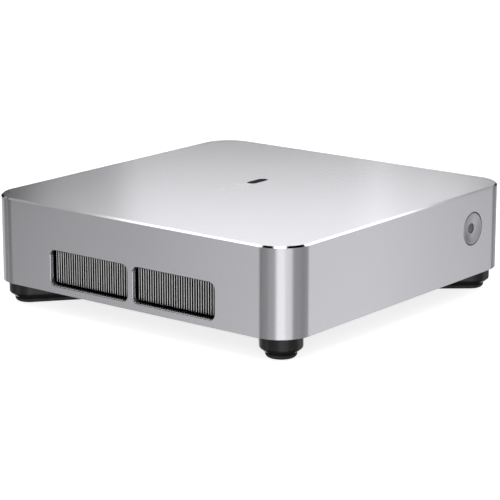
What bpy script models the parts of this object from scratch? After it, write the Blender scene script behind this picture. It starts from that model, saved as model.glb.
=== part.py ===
"""A small square desktop computer in an aluminium case, built piece by piece.

Metres, +Z up. The origin is on the desk, under the middle of the case. The front, with the power
button, faces -Y, the exhaust vents face -X and the connectors face +Y.
"""

import math

import bmesh
import bpy
from mathutils import Vector

MM = 0.001

# ---------------------------------------------------------------- the case
CASE_WIDTH = 128.0 * MM
CASE_DEPTH = 128.0 * MM
CASE_HEIGHT = 29.75 * MM
CORNER_RADIUS = 11.5 * MM
EDGE_CHAMFER = 0.6 * MM
WALL = 1.6 * MM
ROOF = 1.8 * MM
COVER_THICKNESS = 1.8 * MM
COVER_RECESS = 0.3 * MM
COVER_CLEARANCE = 0.25 * MM
GAP = 0.3 * MM
CORNER_STEPS = 9
POST_STEPS = 12
ROUND_STEPS = 20
BUTTON_STEPS = 32

# ---------------------------------------------------------------- exhaust vents, -X wall
VENT_WIDTH = 33.9 * MM
VENT_HEIGHT = 11.95 * MM
VENT_SILL = 2.65 * MM
VENT_MULLION = 2.5 * MM
VENT_RADIUS = 2.0 * MM
FIN_PITCH = 1.0 * MM
FIN_THICKNESS = 0.3 * MM
FIN_PLATE = 0.5 * MM
FIN_DEPTH = 12.0 * MM
FIN_SETBACK = 1.0 * MM
FIN_RISE = 0.5 * MM

# ---------------------------------------------------------------- power button, -Y wall
BUTTON_INSET = 23.3 * MM
BUTTON_RISE = 16.9 * MM
BUTTON_DIAMETER = 11.2 * MM
BUTTON_CLEARANCE = 0.2 * MM
BUTTON_DISH = 0.8 * MM
BUTTON_EDGE = 0.15 * MM
BUTTON_FLANGE_WIDTH = 1.4 * MM
BUTTON_FLANGE_THICKNESS = 0.9 * MM
BUTTON_TRAVEL = 0.5 * MM
LENS_DIAMETER = 3.4 * MM
LENS_CLEARANCE = 0.2 * MM
GUIDE_WALL = 1.2 * MM
GUIDE_DEPTH = 3.2 * MM
PLUNGER_DIAMETER = 3.2 * MM
PLUNGER_LENGTH = 4.6 * MM
PLUNGER_SHOWING = 3.0 * MM
SWITCH_WIDTH = 6.2 * MM
SWITCH_DEPTH = 4.2 * MM

# ---------------------------------------------------------------- feet
FOOT_HEIGHT = 7.7 * MM
FOOT_RING_DIAMETER = 14.0 * MM
FOOT_TAIL_LENGTH = 30.0 * MM
FOOT_TAIL_RADIUS = 4.4 * MM
FOOT_SKIRT = 4.4 * MM
FOOT_BEVEL_DROP = 1.6 * MM
FOOT_BEVEL_INSET = 1.85 * MM
PAD_INSET = 1.9 * MM
PAD_EDGE_RADIUS = 1.3 * MM
PAD_PLUG_INSET = 2.6 * MM
PAD_PLUG_LENGTH = 2.2 * MM
PAD_GROOVE = 0.2 * MM
SCREW_DIAMETER = 2.6 * MM
SCREW_HEAD_DIAMETER = 5.0 * MM
SCREW_HEAD_HEIGHT = 1.3 * MM
SCREW_BITE = 6.0 * MM
HEX_ACROSS = 2.0 * MM
HEX_DEPTH = 0.8 * MM
POST_DIAMETER = 6.4 * MM

# ---------------------------------------------------------------- blower
BLOWER_HEIGHT = 12.0 * MM
BLOWER_PLATE = 0.8 * MM
BLOWER_WALL = 1.2 * MM
BLOWER_REACH = 34.0 * MM
SCROLL_START = 30.5 * MM
IMPELLER_DIAMETER = 44.0 * MM
IMPELLER_HEIGHT = 8.6 * MM
IMPELLER_BLADES = 23
BLADE_THICKNESS = 0.7 * MM
BLADE_SWEEP = math.radians(24)
HUB_DIAMETER = 20.0 * MM
HUB_WALL = 1.4 * MM
HUB_FLOOR = 1.0 * MM
SHAFT_DIAMETER = 2.0 * MM
SHAFT_CLEARANCE = 0.05 * MM
BEARING_WALL = 0.95 * MM
BEARING_LENGTH = 6.0 * MM
TUBE_WALL = 1.0 * MM
STATOR_POLES = 9
STATOR_HEIGHT = 4.0 * MM
STATOR_AIR_GAP = 0.8 * MM
POLE_SHARE = 0.7
CORE_SHARE = 0.16
INTAKE_DIAMETER = 32.0 * MM
SLOT_COUNT = 13
SLOT_PITCH = 4.0 * MM
SLOT_WIDTH = 2.2 * MM
SLOT_FIELD = 52.0 * MM

# ---------------------------------------------------------------- cooler and processor
PIPE_WIDTH = 7.0 * MM
PIPE_THICKNESS = 2.2 * MM
PIPE_ROUNDING = 0.4
PIPE_BEND = 14.0 * MM
PIPE_SPACING = 12.0 * MM
COLD_PLATE_SIZE = 36.0 * MM
COLD_PLATE_THICKNESS = 1.2 * MM
PROCESSOR_WIDTH = 25.0 * MM
PROCESSOR_DEPTH = 24.0 * MM
PROCESSOR_THICKNESS = 1.1 * MM
PROCESSOR_OFFSET = 48.0 * MM
DIE_WIDTH = 14.0 * MM
DIE_DEPTH = 8.0 * MM
DIE_THICKNESS = 0.4 * MM

# ---------------------------------------------------------------- main board and what it carries
BOARD_THICKNESS = 1.6 * MM
BOARD_MARGIN = 1.9 * MM
BOARD_CORNER = 18.0 * MM
BOARD_HOLE_INSET_X = 4.5 * MM
BOARD_HOLE_INSET_Y = 20.5 * MM
BOARD_CHIPS = (
    (6.0 * MM, 6.0 * MM, 1.6 * MM),
    (9.0 * MM, 7.0 * MM, 1.2 * MM),
    (6.0 * MM, 6.0 * MM, 1.6 * MM),
    (5.0 * MM, 8.0 * MM, 1.2 * MM),
)
BOARD_CHIP_PITCH = 14.0 * MM
BOARD_CHIP_INSET = 8.0 * MM
STANDOFF_DIAMETER = 5.2 * MM
BOARD_SCREW_BITE = 3.0 * MM
RAM_LENGTH = 67.6 * MM
RAM_WIDTH = 30.0 * MM
RAM_THICKNESS = 1.0 * MM
RAM_SOCKET_LENGTH = 73.0 * MM
RAM_SOCKET_WIDTH = 6.4 * MM
RAM_SOCKET_HEIGHT = 4.0 * MM
RAM_EDGE_MARGIN = 0.9 * MM
PART_SPACING = 0.5 * MM
RAM_INSERTION = 3.6 * MM
RAM_CHIPS = 4
RAM_CHIP_PITCH = 15.5 * MM
RAM_CHIP_WIDTH = 12.0 * MM
RAM_CHIP_LENGTH = 11.0 * MM
SSD_LENGTH = 80.0 * MM
SSD_WIDTH = 22.0 * MM
SSD_CHIP_PITCH = 22.0 * MM
SSD_CHIP_LENGTH = 16.0 * MM
SSD_POST_HEIGHT = 3.0 * MM
WIFI_LENGTH = 30.0 * MM
CARD_THICKNESS = 0.8 * MM
CARD_RISE = 1.2 * MM
CARD_INSET = 14.5 * MM
CARD_SOCKET_DEPTH = 6.0 * MM
CARD_SOCKET_HEIGHT = 3.2 * MM
CARD_INSERTION = 2.8 * MM
SOCKET_CHEEK = 1.0 * MM
HOLDER_WALL = 0.9 * MM
HOLDER_FLOOR = 0.8 * MM
HOLDER_HEIGHT = 3.4 * MM
CELL_DIAMETER = 20.0 * MM
CELL_THICKNESS = 3.2 * MM
CELL_INSET_X = 12.5 * MM
CELL_INSET_Y = 38.5 * MM
ANTENNA_LENGTH = 30.0 * MM
ANTENNA_WIDTH = 3.0 * MM
ANTENNA_THICKNESS = 0.6 * MM
ANTENNA_X = 34.0 * MM

# ---------------------------------------------------------------- rear connectors, +Y wall
PANEL_WIDTH = 104.0 * MM
PANEL_LOW = 3.6 * MM
PANEL_HIGH = 26.0 * MM
PANEL_RADIUS = 2.0 * MM
PANEL_CLEARANCE = 0.25 * MM
PANEL_FLANGE = 1.0 * MM
PANEL_FLANGE_THICKNESS = 1.0 * MM
PORT_RECESS = 0.2 * MM
PORT_CLEARANCE = 0.3 * MM
PORT_SPACING = 2.4 * MM
PORT_BACK = 2.0 * MM
TONGUE_SETBACK = 1.5 * MM
PORT_SKIN = 0.6 * MM
USB_MOUTH_WIDTH = 12.6 * MM
USB_MOUTH_HEIGHT = 5.2 * MM
USB_WEB = 2.2 * MM
USB_DEPTH = 17.0 * MM
USB_TONGUE = 1.9 * MM
HDMI_MOUTH_WIDTH = 14.0 * MM
HDMI_MOUTH_HEIGHT = 4.6 * MM
HDMI_WEB = 2.0 * MM
HDMI_DEPTH = 12.0 * MM
HDMI_TONGUE = 1.2 * MM
NETWORK_MOUTH_WIDTH = 11.8 * MM
NETWORK_MOUTH_HEIGHT = 8.4 * MM
NETWORK_SKIN = 2.1 * MM
NETWORK_DEPTH = 20.0 * MM
TYPE_C_WIDTH = 8.4 * MM
TYPE_C_HEIGHT = 2.6 * MM
TYPE_C_TONGUE = 0.7 * MM
TYPE_C_DEPTH = 8.5 * MM
INLET_SIZE = 9.4 * MM
INLET_BORE = 6.4 * MM
INLET_PIN = 2.0 * MM
INLET_DEPTH = 13.0 * MM
AUDIO_SIZE = 6.4 * MM
AUDIO_BORE = 3.6 * MM
AUDIO_DEPTH = 12.0 * MM

# ---------------------------------------------------------------- levels, from the desk up
CASE_LOW = FOOT_HEIGHT
CASE_TOP = FOOT_HEIGHT + CASE_HEIGHT
ROOF_LOW = CASE_TOP - ROOF
COVER_LOW = CASE_LOW + COVER_RECESS
COVER_TOP = COVER_LOW + COVER_THICKNESS
VENT_TOP = CASE_LOW + VENT_SILL + VENT_HEIGHT
FIN_LOW = CASE_LOW + VENT_SILL + FIN_RISE
FIN_TOP = VENT_TOP + FIN_PLATE
PIPE_LOW = FIN_TOP + GAP
PLATE_LOW = PIPE_LOW + PIPE_THICKNESS + GAP
PROCESSOR_LOW = PLATE_LOW + COLD_PLATE_THICKNESS + GAP
BOARD_LOW = PROCESSOR_LOW + PROCESSOR_THICKNESS + GAP
BOARD_TOP = BOARD_LOW + BOARD_THICKNESS
ON_BOARD = BOARD_TOP + GAP
UNDER_BOARD = BOARD_LOW - GAP
BLOWER_LOW = COVER_TOP + GAP
BLOWER_TOP = BLOWER_LOW + BLOWER_HEIGHT
BLOWER_CEILING = BLOWER_TOP - BLOWER_PLATE
HOUSING_LOW = BLOWER_LOW + BLOWER_PLATE + GAP
IMPELLER_LOW = HOUSING_LOW + (BLOWER_CEILING - HOUSING_LOW - IMPELLER_HEIGHT) / 2
BUTTON_Z = CASE_LOW + BUTTON_RISE

# ---------------------------------------------------------------- places in plan
FIN_COUNT = round(VENT_WIDTH / FIN_PITCH)
FIN_LENGTH = (FIN_COUNT - 1) * FIN_PITCH + FIN_THICKNESS
FIN_REACH = (VENT_MULLION + VENT_WIDTH + FIN_LENGTH) / 2
INNER_X = CASE_WIDTH / 2 - WALL
INNER_Y = CASE_DEPTH / 2 - WALL
FRONT = -CASE_DEPTH / 2
REAR = CASE_DEPTH / 2
FIN_FRONT_X = -INNER_X + FIN_SETBACK
MOUTH_X = FIN_FRONT_X + FIN_DEPTH + GAP
FAN_X = MOUTH_X + BLOWER_REACH
FAN_Y = 0.0
FOOT_RADIUS = FOOT_RING_DIAMETER / 2
CORNER_X = CASE_WIDTH / 2 - CORNER_RADIUS
CORNER_Y = CASE_DEPTH / 2 - CORNER_RADIUS
FOOT_OUT = CORNER_RADIUS - WALL - GAP - FOOT_RADIUS
FOOT_X = CORNER_X + FOOT_OUT / math.sqrt(2)
FOOT_Y = CORNER_Y + FOOT_OUT / math.sqrt(2)
BOARD_X = INNER_X - BOARD_MARGIN
BOARD_Y = INNER_Y - BOARD_MARGIN
BOARD_HOLE_X = BOARD_X - BOARD_HOLE_INSET_X
BOARD_HOLE_Y = BOARD_Y - BOARD_HOLE_INSET_Y
PROCESSOR_X = FAN_X + PROCESSOR_OFFSET
RAM_FIRST_X = BOARD_X - RAM_EDGE_MARGIN
RAM_SPAN = RAM_SOCKET_WIDTH - RAM_INSERTION + RAM_WIDTH
RAM_PITCH = RAM_SPAN + PART_SPACING
SSD_X = RAM_FIRST_X - 2 * RAM_PITCH - SSD_WIDTH / 2
WIFI_X = SSD_X - SSD_WIDTH - PART_SPACING
CARD_BACK_Y = BOARD_Y - CARD_INSET
CELL_X = -BOARD_X + CELL_INSET_X
CELL_Y = -BOARD_Y + CELL_INSET_Y
BUTTON_X = CASE_WIDTH / 2 - BUTTON_INSET
FLANGE_FRONT = FRONT + WALL + GAP
FLANGE_BACK = FLANGE_FRONT + BUTTON_FLANGE_THICKNESS
PLUNGER_FRONT = FLANGE_BACK + GAP
SWITCH_FRONT = PLUNGER_FRONT + PLUNGER_SHOWING
SCREW_HOLE = SCREW_DIAMETER / 2 + GAP

FACE_FRONT = (math.radians(90), 0.0, 0.0)
FACE_SIDE = (math.radians(90), 0.0, math.radians(90))
CORNERS = {
    "front_left": (-1, -1),
    "front_right": (1, -1),
    "rear_left": (-1, 1),
    "rear_right": (1, 1),
}


# ---------------------------------------------------------------- outlines
def arc(center, radius, start, end, steps):
    """Points along an arc, both ends included, angles in degrees."""
    points = []
    for step in range(steps + 1):
        angle = math.radians(start + (end - start) * step / steps)
        x = center[0] + radius * math.cos(angle)
        y = center[1] + radius * math.sin(angle)
        points.append((x, y))
    return points


def circle(radius, steps):
    """A round outline about the origin."""
    return arc((0.0, 0.0), radius, 0.0, 360.0, steps)[:-1]


def rounded_rectangle(width, depth, radius, steps):
    """A rectangle about the origin with round corners."""
    x = width / 2 - radius
    y = depth / 2 - radius
    points = arc((x, y), radius, 0, 90, steps)
    points += arc((-x, y), radius, 90, 180, steps)
    points += arc((-x, -y), radius, 180, 270, steps)
    points += arc((x, -y), radius, 270, 360, steps)
    return points


def slot_outline(length, width, steps):
    """A straight slot about the origin, its long side along Y."""
    reach = length / 2 - width / 2
    return arc((0.0, reach), width / 2, 0, 180, steps) + arc((0.0, -reach), width / 2, 180, 360, steps)


def foot_outline(grow):
    """A drop shape: a round end about the origin and a slimmer tail end along -X."""
    big = FOOT_RADIUS + grow
    small = FOOT_TAIL_RADIUS + grow
    reach = FOOT_TAIL_LENGTH - FOOT_TAIL_RADIUS
    lean = math.degrees(math.acos((small - big) / reach))
    head = arc((0.0, 0.0), big, -lean, lean, 16)
    tail = arc((-reach, 0.0), small, lean, 360 - lean, 8)
    return head + tail


def comb_outline(count, height):
    """Upright fins hanging from a plate, seen from the end, from the origin along +X."""
    points = [(0.0, height), (0.0, 0.0)]
    for fin in range(count):
        start = fin * FIN_PITCH
        end = start + FIN_THICKNESS
        if fin:
            points += [(start, height - FIN_PLATE), (start, 0.0)]
        points += [(end, 0.0), (end, height - FIN_PLATE)]
    points[-1] = (FIN_LENGTH, height)
    return points


def blade_side(angle, half, radii):
    """Points along one side of a swept blade, from the first radius to the last."""
    inner = HUB_DIAMETER / 2
    outer = IMPELLER_DIAMETER / 2
    points = []
    for radius in radii:
        swept = angle + BLADE_SWEEP * (radius - inner) / (outer - inner) + half / radius
        points.append((radius * math.cos(swept), radius * math.sin(swept)))
    return points


def impeller_outline():
    """Swept blades round a hub, seen along the shaft."""
    inner = HUB_DIAMETER / 2
    outer = IMPELLER_DIAMETER / 2
    radii = [inner, (inner + outer) / 2, outer]
    points = []
    for blade in range(IMPELLER_BLADES):
        angle = 2 * math.pi * blade / IMPELLER_BLADES
        points += blade_side(angle, -BLADE_THICKNESS / 2, radii)
        points += blade_side(angle, BLADE_THICKNESS / 2, radii[::-1])
    return points


def stator_outline(inner, outer):
    """Wound poles round a core, seen along the shaft."""
    core = inner + (outer - inner) / 3
    points = []
    for pole in range(STATOR_POLES):
        share = 360 / STATOR_POLES
        middle = share * pole
        between = middle + share / 2
        face = share * POLE_SHARE / 2
        valley = share * CORE_SHARE / 2
        points += arc((0.0, 0.0), outer, middle - face, middle + face, 2)
        points += arc((0.0, 0.0), core, between - valley, between + valley, 1)
    return points


def scroll_outline(inset, mouth):
    """The blower's wall in plan about the fan's axis: a widening scroll that opens towards -X."""
    side = FIN_REACH - inset
    start = SCROLL_START - inset
    points = [(-BLOWER_REACH - mouth, side)]
    steps = 14
    for step in range(steps + 1):
        share = step / steps
        angle = math.radians(90 - 180 * share)
        radius = side + (start - side) * share
        points.append((radius * math.cos(angle), radius * math.sin(angle)))
    points.append((-BLOWER_REACH, -side))
    if mouth:
        points.append((-BLOWER_REACH - mouth, -side))
    return points


def strip_outline(path, width):
    """A band of one width along a path of points."""
    left = []
    right = []
    for index, point in enumerate(path):
        before = Vector(path[max(index - 1, 0)])
        after = Vector(path[min(index + 1, len(path) - 1)])
        along = (after - before).normalized()
        across = Vector((-along.y, along.x)) * width / 2
        left.append(tuple(Vector(point) + across))
        right.append(tuple(Vector(point) - across))
    return right + left[::-1]


# ---------------------------------------------------------------- solids
def prism(outline, height):
    """A straight solid on an outline, from the origin's level up."""
    body = bmesh.new()
    base = body.faces.new([body.verts.new((x, y, 0.0)) for x, y in outline])
    grown = bmesh.ops.extrude_face_region(body, geom=[base])["geom"]
    raised = [item for item in grown if isinstance(item, bmesh.types.BMVert)]
    bmesh.ops.translate(body, verts=raised, vec=(0.0, 0.0, height))
    bmesh.ops.recalc_face_normals(body, faces=body.faces)
    return body


def block(width, depth, height):
    """A plain block standing on the origin's level, centred in plan."""
    x = width / 2
    y = depth / 2
    return prism([(-x, -y), (x, -y), (x, y), (-x, y)], height)


def turned(profile, steps):
    """A solid of revolution about Z from (radius, height) points: an open line on the axis, or a ring."""
    body = bmesh.new()
    points = [body.verts.new((radius, 0.0, height)) for radius, height in profile]
    edges = [body.edges.new(pair) for pair in zip(points, points[1:])]
    if profile[0][0] > 0.0:
        edges.append(body.edges.new((points[-1], points[0])))
    bmesh.ops.spin(
        body,
        geom=points + edges,
        cent=(0.0, 0.0, 0.0),
        axis=(0.0, 0.0, 1.0),
        angle=2 * math.pi,
        steps=steps,
        use_merge=True,
    )
    bmesh.ops.remove_doubles(body, verts=body.verts, dist=0.001 * MM)
    bmesh.ops.recalc_face_normals(body, faces=body.faces)
    return body


def stacked(rings):
    """A drop-shaped solid through rings of (growth, level), closed at both ends."""
    body = bmesh.new()
    loops = []
    for grow, level in rings:
        points = [body.verts.new((x, y, level)) for x, y in foot_outline(grow)]
        loops.append([body.edges.new(pair) for pair in zip(points, points[1:] + points[:1])])
    for low, high in zip(loops, loops[1:]):
        bmesh.ops.bridge_loops(body, edges=low + high)
    bmesh.ops.edgeloop_fill(body, edges=loops[0])
    bmesh.ops.edgeloop_fill(body, edges=loops[-1])
    bmesh.ops.recalc_face_normals(body, faces=body.faces)
    return body


def ease(body, level, amount, segments):
    """Bevel the edges that lie at one level of a solid."""
    picked = [e for e in body.edges if all(abs(v.co.z - level) < 0.01 * MM for v in e.verts)]
    bmesh.ops.bevel(
        body,
        geom=picked,
        offset=amount,
        segments=segments,
        affect="EDGES",
        profile=0.5,
        clamp_overlap=True,
        material=-1,
    )
    return body


def grouped(bodies):
    """Several separate solids in one mesh, each moved to its own place."""
    group = bmesh.new()
    for body, place in bodies:
        bmesh.ops.translate(body, verts=body.verts, vec=place)
        piece = bpy.data.meshes.new("piece")
        body.to_mesh(piece)
        body.free()
        group.from_mesh(piece)
        bpy.data.meshes.remove(piece)
    return group


# ---------------------------------------------------------------- objects
def finish(name, color, roughness, metallic):
    """A plain material."""
    material = bpy.data.materials.new(name)
    material.use_nodes = True
    shader = material.node_tree.nodes["Principled BSDF"]
    shader.inputs["Base Color"].default_value = (*color, 1.0)
    shader.inputs["Roughness"].default_value = roughness
    shader.inputs["Metallic"].default_value = metallic
    return material


def add(name, body, material, at=(0.0, 0.0, 0.0), turn=(0.0, 0.0, 0.0), parent=None):
    """Make a solid a named object at its place."""
    mesh = bpy.data.meshes.new(name)
    body.to_mesh(mesh)
    body.free()
    mesh.shade_smooth()
    mesh.set_sharp_from_angle(angle=math.radians(35))
    item = bpy.data.objects.new(name, mesh)
    if material is not None:
        mesh.materials.append(material)
    item.parent = parent
    item.location = at
    item.rotation_euler = turn
    bpy.context.scene.collection.objects.link(item)
    return item


def alter(target, operation, name, body, at=(0.0, 0.0, 0.0), turn=(0.0, 0.0, 0.0)):
    """Cut a tool shape out of a piece, or join it on. The tool's place is relative to the piece."""
    tool = add(name, body, None, at, turn, target)
    tool.hide_render = True
    tool.display_type = "WIRE"
    modifier = target.modifiers.new(name, "BOOLEAN")
    modifier.object = tool
    modifier.operation = operation
    modifier.solver = "EXACT"


def frame_point(name, at, parent=None):
    """An empty that carries the pieces of one moving body."""
    empty = bpy.data.objects.new(name, None)
    empty.location = at
    empty.parent = parent
    bpy.context.scene.collection.objects.link(empty)
    return empty


# ---------------------------------------------------------------- case
def make_shell(material):
    """The aluminium body: a roof and four walls, open underneath, with its posts and standoffs."""
    outer = prism(rounded_rectangle(CASE_WIDTH, CASE_DEPTH, CORNER_RADIUS, CORNER_STEPS), CASE_HEIGHT)
    shell = add("top_shell", ease(outer, CASE_HEIGHT, EDGE_CHAMFER, 1), material, (0.0, 0.0, CASE_LOW))
    hollow = rounded_rectangle(2 * INNER_X, 2 * INNER_Y, CORNER_RADIUS - WALL, CORNER_STEPS)
    depth = ROOF_LOW - CASE_LOW
    alter(shell, "DIFFERENCE", "shell_hollow", prism(hollow, depth + WALL), (0.0, 0.0, -WALL))

    posts = []
    threads = []
    post_low = COVER_TOP + GAP - CASE_LOW
    standoff_low = ON_BOARD - CASE_LOW
    post_height = depth + ROOF / 2 - post_low
    standoff_height = depth + ROOF / 2 - standoff_low
    standoff = STANDOFF_DIAMETER / 2
    for side_x, side_y in CORNERS.values():
        foot = (side_x * FOOT_X, side_y * FOOT_Y)
        hole = (side_x * BOARD_HOLE_X, side_y * BOARD_HOLE_Y)
        posts.append((prism(circle(POST_DIAMETER / 2, POST_STEPS), post_height), (*foot, post_low)))
        posts.append((prism(circle(standoff, POST_STEPS), standoff_height), (*hole, standoff_low)))
        bite = SCREW_BITE + 2 * GAP
        threads.append((prism(circle(SCREW_HOLE, POST_STEPS), bite), (*foot, post_low - GAP)))
        bite = BOARD_SCREW_BITE + 2 * GAP
        threads.append((prism(circle(SCREW_HOLE, POST_STEPS), bite), (*hole, standoff_low - GAP)))
    alter(shell, "UNION", "shell_posts", grouped(posts))
    alter(shell, "DIFFERENCE", "shell_threads", grouped(threads))

    window = rounded_rectangle(VENT_WIDTH, VENT_HEIGHT, VENT_RADIUS, 5)
    middle = VENT_SILL + VENT_HEIGHT / 2
    offset = (VENT_MULLION + VENT_WIDTH) / 2
    start = -CASE_WIDTH / 2 - WALL
    for name, side in (("vent_front", -1), ("vent_rear", 1)):
        alter(shell, "DIFFERENCE", name, prism(window, 3 * WALL), (start, side * offset, middle), FACE_SIDE)
    hole = prism(circle(BUTTON_DIAMETER / 2 + BUTTON_CLEARANCE, BUTTON_STEPS), 3 * WALL)
    alter(shell, "DIFFERENCE", "button_hole", hole, (BUTTON_X, FRONT + 2 * WALL, BUTTON_RISE), FACE_FRONT)
    height = PANEL_HIGH - PANEL_LOW
    opening = prism(rounded_rectangle(PANEL_WIDTH, height, PANEL_RADIUS, 4), 3 * WALL)
    middle = (PANEL_HIGH + PANEL_LOW) / 2
    alter(shell, "DIFFERENCE", "panel_opening", opening, (0.0, REAR + WALL, middle), FACE_FRONT)


def make_bottom_cover(material):
    """The plate that closes the case underneath, with slots under the fan and holes for the foot screws."""
    width = 2 * (INNER_X - COVER_CLEARANCE)
    depth = 2 * (INNER_Y - COVER_CLEARANCE)
    radius = CORNER_RADIUS - WALL - COVER_CLEARANCE
    plate = prism(rounded_rectangle(width, depth, radius, CORNER_STEPS), COVER_THICKNESS)
    cover = add("bottom_cover", plate, material, (0.0, 0.0, COVER_LOW))
    slots = []
    for index in range(SLOT_COUNT):
        along = (index - (SLOT_COUNT - 1) / 2) * SLOT_PITCH
        length = 2 * math.sqrt((SLOT_FIELD / 2) ** 2 - along ** 2)
        slot = prism(slot_outline(length, SLOT_WIDTH, 4), 3 * COVER_THICKNESS)
        slots.append((slot, (FAN_X + along, FAN_Y, -COVER_THICKNESS)))
    alter(cover, "DIFFERENCE", "intake_slots", grouped(slots))
    holes = []
    for side_x, side_y in CORNERS.values():
        hole = prism(circle(SCREW_HOLE, POST_STEPS), 3 * COVER_THICKNESS)
        holes.append((hole, (side_x * FOOT_X, side_y * FOOT_Y, -COVER_THICKNESS)))
    alter(cover, "DIFFERENCE", "cover_holes", grouped(holes))


def screw(bite, grip):
    """A cap screw with its head below the origin's level and its shank above: grip, then bite."""
    head = SCREW_HEAD_DIAMETER / 2
    shank = SCREW_DIAMETER / 2
    length = grip + bite
    profile = [
        (0.0, -SCREW_HEAD_HEIGHT),
        (head, -SCREW_HEAD_HEIGHT),
        (head, 0.0),
        (shank, 0.0),
        (shank, length - shank / 2),
        (shank / 2, length),
        (0.0, length),
    ]
    return turned(profile, POST_STEPS)


def add_screw(name, body, material, at):
    """A screw with a hexagon socket in its head."""
    item = add(name, body, material, at)
    socket = prism(circle(HEX_ACROSS / math.sqrt(3), 6), 2 * HEX_DEPTH)
    alter(item, "DIFFERENCE", name + "_socket", socket, (0.0, 0.0, -SCREW_HEAD_HEIGHT - HEX_DEPTH))


def make_feet(plastic, rubber, steel):
    """Four drop-shaped feet, each with a rubber pad, held by a screw that also holds the bottom cover."""
    base_height = FOOT_SKIRT + FOOT_BEVEL_DROP
    base_low = FOOT_HEIGHT - base_height
    pocket_top = PAD_PLUG_LENGTH + GAP
    seat = pocket_top + SCREW_HEAD_HEIGHT + GAP
    base_rings = ((-FOOT_BEVEL_INSET, 0.0), (0.0, FOOT_BEVEL_DROP), (0.0, base_height))
    pad_rings = []
    for reach, rise in arc((0.0, PAD_EDGE_RADIUS), PAD_EDGE_RADIUS, -90, 0, 2):
        pad_rings.append((reach - PAD_EDGE_RADIUS - PAD_INSET, rise))
    pad_rings.append((-PAD_INSET, base_low - PAD_GROOVE))
    pad_rings.append((-PAD_PLUG_INSET, base_low - PAD_GROOVE))
    pad_rings.append((-PAD_PLUG_INSET, base_low + PAD_PLUG_LENGTH))
    head = SCREW_HEAD_DIAMETER / 2 + GAP
    bore = [(0.0, pocket_top - GAP), (head, pocket_top - GAP), (head, seat), (SCREW_HOLE, seat)]
    bore += [(SCREW_HOLE, base_height + GAP), (0.0, base_height + GAP)]
    for name, (side_x, side_y) in CORNERS.items():
        place = (side_x * FOOT_X, side_y * FOOT_Y)
        turn = (0.0, 0.0, math.atan2(side_y, side_x))
        foot = add("foot_base_" + name, stacked(base_rings), plastic, (*place, base_low), turn)
        pocket = prism(foot_outline(GAP - PAD_PLUG_INSET), pocket_top + GAP)
        alter(foot, "DIFFERENCE", "foot_pocket_" + name, pocket, (0.0, 0.0, -GAP))
        alter(foot, "DIFFERENCE", "foot_bore_" + name, turned(bore, ROUND_STEPS))
        add("foot_pad_" + name, stacked(pad_rings), rubber, (*place, 0.0), turn)
        head_level = base_low + seat - GAP
        grip = COVER_TOP + GAP - head_level
        add_screw("foot_screw_" + name, screw(SCREW_BITE, grip), steel, (*place, head_level))


# ---------------------------------------------------------------- power button
def make_button(cap_material, lens_material, plastic, steel):
    """The dished cap with its light guide, sliding in a guide behind the wall onto a switch."""
    axis = frame_point("power_button_axis", (BUTTON_X, FRONT, BUTTON_Z))
    radius = BUTTON_DIAMETER / 2
    hole = LENS_DIAMETER / 2 + LENS_CLEARANCE
    rim = radius - BUTTON_EDGE
    flange_low = FRONT - FLANGE_BACK
    flange_high = FRONT - FLANGE_FRONT
    profile = [(hole, flange_low), (radius + BUTTON_FLANGE_WIDTH, flange_low)]
    profile += [(radius + BUTTON_FLANGE_WIDTH, flange_high), (radius, flange_high)]
    profile += [(radius, -BUTTON_EDGE), (rim, 0.0)]
    dish_rim = rim - 3 * BUTTON_EDGE
    steps = 4
    for step in range(steps + 1):
        share = step / steps
        reach = dish_rim + (hole - dish_rim) * share
        profile.append((reach, -BUTTON_DISH * (1 - (reach / dish_rim) ** 2)))
    add("power_button", turned(profile, BUTTON_STEPS), cap_material, turn=FACE_FRONT, parent=axis)

    face = -BUTTON_DISH
    guide = [
        (0.0, flange_low),
        (LENS_DIAMETER / 2, flange_low),
        (LENS_DIAMETER / 2, face - BUTTON_EDGE),
        (LENS_DIAMETER / 2 - BUTTON_EDGE, face),
        (0.0, face),
    ]
    add("button_lens", turned(guide, ROUND_STEPS), lens_material, turn=FACE_FRONT, parent=axis)

    inner = radius + BUTTON_FLANGE_WIDTH + BUTTON_CLEARANCE
    outer = inner + GUIDE_WALL
    ring = [(inner, -GUIDE_DEPTH), (outer, -GUIDE_DEPTH), (outer, 0.0), (inner, 0.0)]
    add("button_guide", turned(ring, BUTTON_STEPS), plastic, (BUTTON_X, FLANGE_FRONT, BUTTON_Z), FACE_FRONT)

    stem = prism(circle(PLUNGER_DIAMETER / 2, POST_STEPS), PLUNGER_LENGTH)
    back = FRONT - PLUNGER_FRONT - PLUNGER_LENGTH
    add("switch_plunger", stem, plastic, (0.0, -back, 0.0), FACE_FRONT, axis)

    below = BUTTON_Z - SWITCH_WIDTH / 2
    switch = block(SWITCH_WIDTH, SWITCH_DEPTH, UNDER_BOARD - below)
    item = add("power_switch", switch, steel, (BUTTON_X, SWITCH_FRONT + SWITCH_DEPTH / 2, below))
    inside = PLUNGER_LENGTH - PLUNGER_SHOWING + BUTTON_TRAVEL + GAP
    bore = prism(circle(PLUNGER_DIAMETER / 2 + GAP, POST_STEPS), inside + GAP)
    at = (0.0, -SWITCH_DEPTH / 2 + inside, BUTTON_Z - below)
    alter(item, "DIFFERENCE", "switch_bore", bore, at, FACE_FRONT)


# ---------------------------------------------------------------- cooling
def make_fins(material):
    """Two stacks of upright fins, one behind each vent."""
    start = FIN_REACH - FIN_LENGTH
    for name, low in (("fin_stack_rear", start), ("fin_stack_front", -FIN_REACH)):
        comb = prism(comb_outline(FIN_COUNT, FIN_TOP - FIN_LOW), FIN_DEPTH)
        add(name, comb, material, (FIN_FRONT_X, low, FIN_LOW), FACE_SIDE)


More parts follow.
